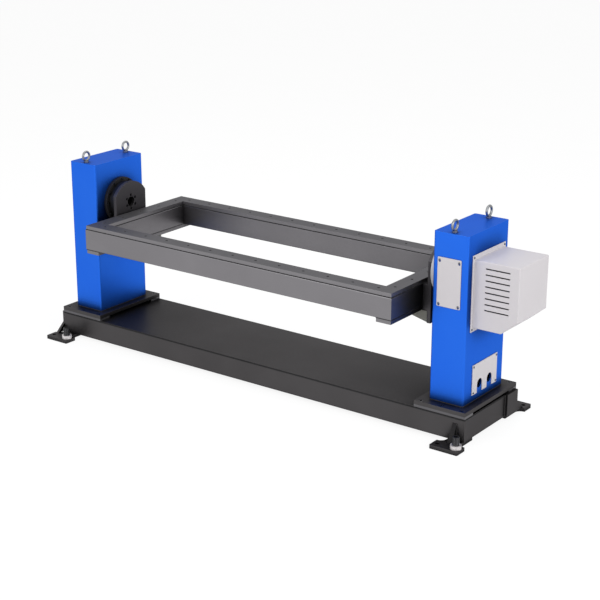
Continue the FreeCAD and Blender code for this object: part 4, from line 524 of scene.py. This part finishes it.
# The two arm plates are flame-cut plate, machined and sprayed dark grey, and carry the frame.
# Their ribs are welded on later and stay in light grey primer.
dark_enamel = sprayed_enamel("dark_grey_metallic_enamel", ("#4A484B", "#4E4C4F", "#605E61"), 0.45,
                             metallic=0.8, sheen="#A0A0A0", painted_shade=0.95, shade_reach=30 * MM)
primer = sprayed_enamel("light_grey_primer", ("#8C8B82", "#85847C", "#A6A59C"), 0.6, specular=0.3,
                        painted_shade=0.4)
finish(dark_enamel, "arm_plate_left", "arm_plate_right", "frame_spacer_left", "frame_spacer_right")
finish(primer, "arm_ribs")
hub_circle, spacer_row, spacer_levels = 39, 90, (643, 703)
right_spacer, left_spacer = [[(x, y, z) for y in (-spacer_row, spacer_row) for z in spacer_levels]
                             for x in (962.25, -1114.75)]
screws("arm_cap_screws", "arm_plate_screws", black_oxide,
       (spot_ring(965.25, hub_circle, 6), (-1, 0, 0), M10, 30),
       (spot_ring(-1117.75, hub_circle, 6), (1, 0, 0), M10, 30),
       (right_spacer, (1, 0, 0), M12, 51.5),
       (left_spacer, (-1, 0, 0), M12, 51.5), body="turning_frame")
# each rib has a bead in both its corners, down the arm plate and along the spacer and the frame
rib_foot, rib_top, bead_off, rib_reach = 539, 593, 1, 111
rib_runs = []
for wall, inward in ((954.75, -1), (-1107.25, 1)):
    for y in (-122, -110, 110, 122):
        near, far = wall + inward * bead_off, wall + inward * rib_reach
        rib_runs.append(([(near, y, rib_foot), (near, y, rib_top), (far, y, rib_top)], False))
weld("rib_welds", "turning_frame", primer, rib_runs, 3 * MM)


# The tailstock is a cast bearing housing with two roller bearings and a hollow spindle.
# The housing has matt black enamel, the spindle is turned and blackened, its nut left bright.
turned_black = cut_steel("turned_blackened_steel", "#3A3A3C", "#2E2E30", 0.48, 3 * MM, True)
turned_bright = cut_steel("turned_bright_steel", "#A6A6A8", "#8F8F92", 0.3, 3 * MM, True)
ground_steel = cut_steel("ground_bearing_steel", "#BEBEC0", "#A9A9AC", 0.18, 2 * MM, True)
casting_enamel = sprayed_enamel("matt_black_casting_enamel", ("#1B191B", "#201E20", "#343234"), 0.6,
                                specular=0.3, painted_shade=0.8, shade_reach=30 * MM)
finish(casting_enamel, "tail_bearing_housing")
finish(turned_black, "tail_spindle")
finish(turned_bright, "tail_spindle_nut", "output_flange")
finish(ground_steel, "tail_bearings", "output_bearing")
screws("tail_cap_screws", "tail_housing_screws", black_oxide,
       (spot_ring(-1173.25, 121.5, 12), (1, 0, 0), M8, 28))


# The headstock is a cast reducer in light grey enamel, driven through a gear pair by a motor.
# The gears are hobbed steel with a film of grease, and the motor is black with a machined plate.
reducer_enamel = sprayed_enamel("light_grey_casting_enamel", ("#BEBDBF", "#C6C5C7", "#D6D5D7"), 0.45)
motor_enamel = sprayed_enamel("black_motor_enamel", ("#1E1E20", "#262628", "#48484A"), 0.4)
hobbed_steel = cut_steel("hobbed_greased_steel", "#8C8A86", "#6E6C66", 0.28, 2 * MM, True)
rotor_steel = cut_steel("laminated_rotor_steel", "#77777A", "#626264", 0.4, 2 * MM, True)
adapter_metal = cut_steel("machined_aluminium", "#C0C2C4", "#AEB0B2", 0.33, 5 * MM, False)
finish(reducer_enamel, "reducer_case")
finish(motor_enamel, "motor_casing", "motor_rear_cover")
finish(hobbed_steel, "centre_gear", "motor_pinion")
finish(rotor_steel, "motor_rotor")
finish(adapter_metal, "motor_adapter_plate")
finish(black_oxide, "motor_screws")
screws("reducer_cap_screws", "reducer_screws", black_oxide,
       (spot_ring(984.75, 124.5, 12), (-1, 0, 0), M8, 50))


# The hood, the access cover and the cable plate are bent sheet with a fine powder coat.
# They hang on small bright screws, two of them in keyholes, so they lift off for service.
powder_coat = sprayed_enamel("light_grey_powder_coat", ("#D2CED1", "#D4D0D3", "#DEDADE"), 0.5,
                             specular=0.3)
screw_zinc = plated_steel("zinc_plated_screws", "#7C7E86", "#5E6068", 0.35, 0.07)
finish(powder_coat, "motor_hood", "access_cover", "cable_plate")
screws("outer_cover_screws", "hood_and_cable_screws", screw_zinc,
       ([(1219.25, y, z) for y in (-140, 152) for z in (557, 919)], (1, 0, 0), COVER_SCREW, 12.5),
       ([(1219.75, y, z) for y in (-104, 118) for z in (217, 353)], (1, 0, 0), COVER_SCREW, 13))
screws("access_screws", "access_cover_screws", screw_zinc,
       ([(x, -197, z) for x in (1062.75, 1170.75) for z in (678.5, 897.5)], (0, -1, 0), COVER_SCREW, 13))


# The studio: a pale floor that shows the object's soft shadow and looks white to the camera.
# Three large soft lamps and an even sky light a colour about as it is written.
def seen(tree):
    """One for rays that reach the camera straight, in a mirror or through glass, else nought."""
    ray = put(tree, "ShaderNodeLightPath").outputs
    straight = maths(tree, "MAXIMUM", ray["Is Camera Ray"], ray["Is Glossy Ray"])
    return maths(tree, "MAXIMUM", straight, ray["Is Transmission Ray"])


white, floor_drop, speckle_size = (1, 1, 1, 1), 1 * MM, 400 * MM
floor_half = 40.0
floor_mesh = bpy.data.meshes.new("floor")
floor_mesh.from_pydata([(-floor_half, -floor_half, 0), (floor_half, -floor_half, 0),
                        (floor_half, floor_half, 0), (-floor_half, floor_half, 0)], [], [(0, 1, 2, 3)])
floor = bpy.data.objects.new("floor", floor_mesh)
bpy.context.scene.collection.objects.link(floor)
floor.location.z = -floor_drop
floor_paint = bpy.data.materials.new("pale_floor_paint")
floor_paint.use_nodes = True
tree = floor_paint.node_tree
tree.nodes.clear()
place = put(tree, "ShaderNodeTexCoord").outputs["Object"]
speckle = put(tree, "ShaderNodeTexNoise", {"Vector": place, "Scale": 1 / speckle_size, "Detail": 3.0})
pale = put(tree, "ShaderNodeBsdfDiffuse", {"Color": linear("#E4E4E4")})
veil = put(tree, "ShaderNodeBsdfDiffuse", {"Color": blend(tree, speckle.outputs["Fac"], "#707070", "#747474")})
glow = put(tree, "ShaderNodeEmission", {"Color": white, "Strength": 0.88})
bright = put(tree, "ShaderNodeAddShader", {0: veil.outputs[0], 1: glow.outputs[0]})
both = put(tree, "ShaderNodeMixShader", {0: seen(tree), 1: pale.outputs[0], 2: bright.outputs[0]})
put(tree, "ShaderNodeOutputMaterial", {"Surface": both.outputs[0]})
floor_mesh.materials.append(floor_paint)

world = bpy.data.worlds.new("studio")
world.use_nodes = True
bpy.context.scene.world = world
tree = world.node_tree
tree.nodes.clear()
soft = put(tree, "ShaderNodeBackground", {"Color": white, "Strength": 0.5})
bright = put(tree, "ShaderNodeBackground", {"Color": white, "Strength": 1.0})
both = put(tree, "ShaderNodeMixShader", {0: seen(tree), 1: soft.outputs[0], 2: bright.outputs[0]})
put(tree, "ShaderNodeOutputWorld", {"Surface": both.outputs[0]})

lamp_size, target = 5.0, Vector((0, 0, 0.6))
for name, spot, power, sheen in (("front_lamp", (-1.5, -7.0, 4.0), 220, 0.1),
                                 ("right_lamp", (7.0, -1.5, 3.5), 212, 0.8),
                                 ("top_lamp", (0.0, 1.0, 7.0), 105, 0.2)):
    lamp = bpy.data.lights.new(name, "AREA")
    lamp.size = lamp_size
    lamp.energy = power
    lamp.specular_factor = sheen
    stand = bpy.data.objects.new(name, lamp)
    stand.location = spot
    stand.rotation_euler = (target - Vector(spot)).to_track_quat("-Z", "Y").to_euler()
    bpy.context.scene.collection.objects.link(stand)

# the camera was solved from straight edges and corners of the picture
lens = bpy.data.cameras.new("camera")
lens.lens = 89.27
lens.sensor_width = 36.0
camera = bpy.data.objects.new("camera", lens)
camera.location = (4.54875, -6.054, 2.9772)
camera.rotation_euler = (math.radians(71.39), math.radians(-0.04), math.radians(36.38))
bpy.context.scene.collection.objects.link(camera)
bpy.context.scene.camera = camera
bpy.context.scene.view_settings.view_transform = "Standard"
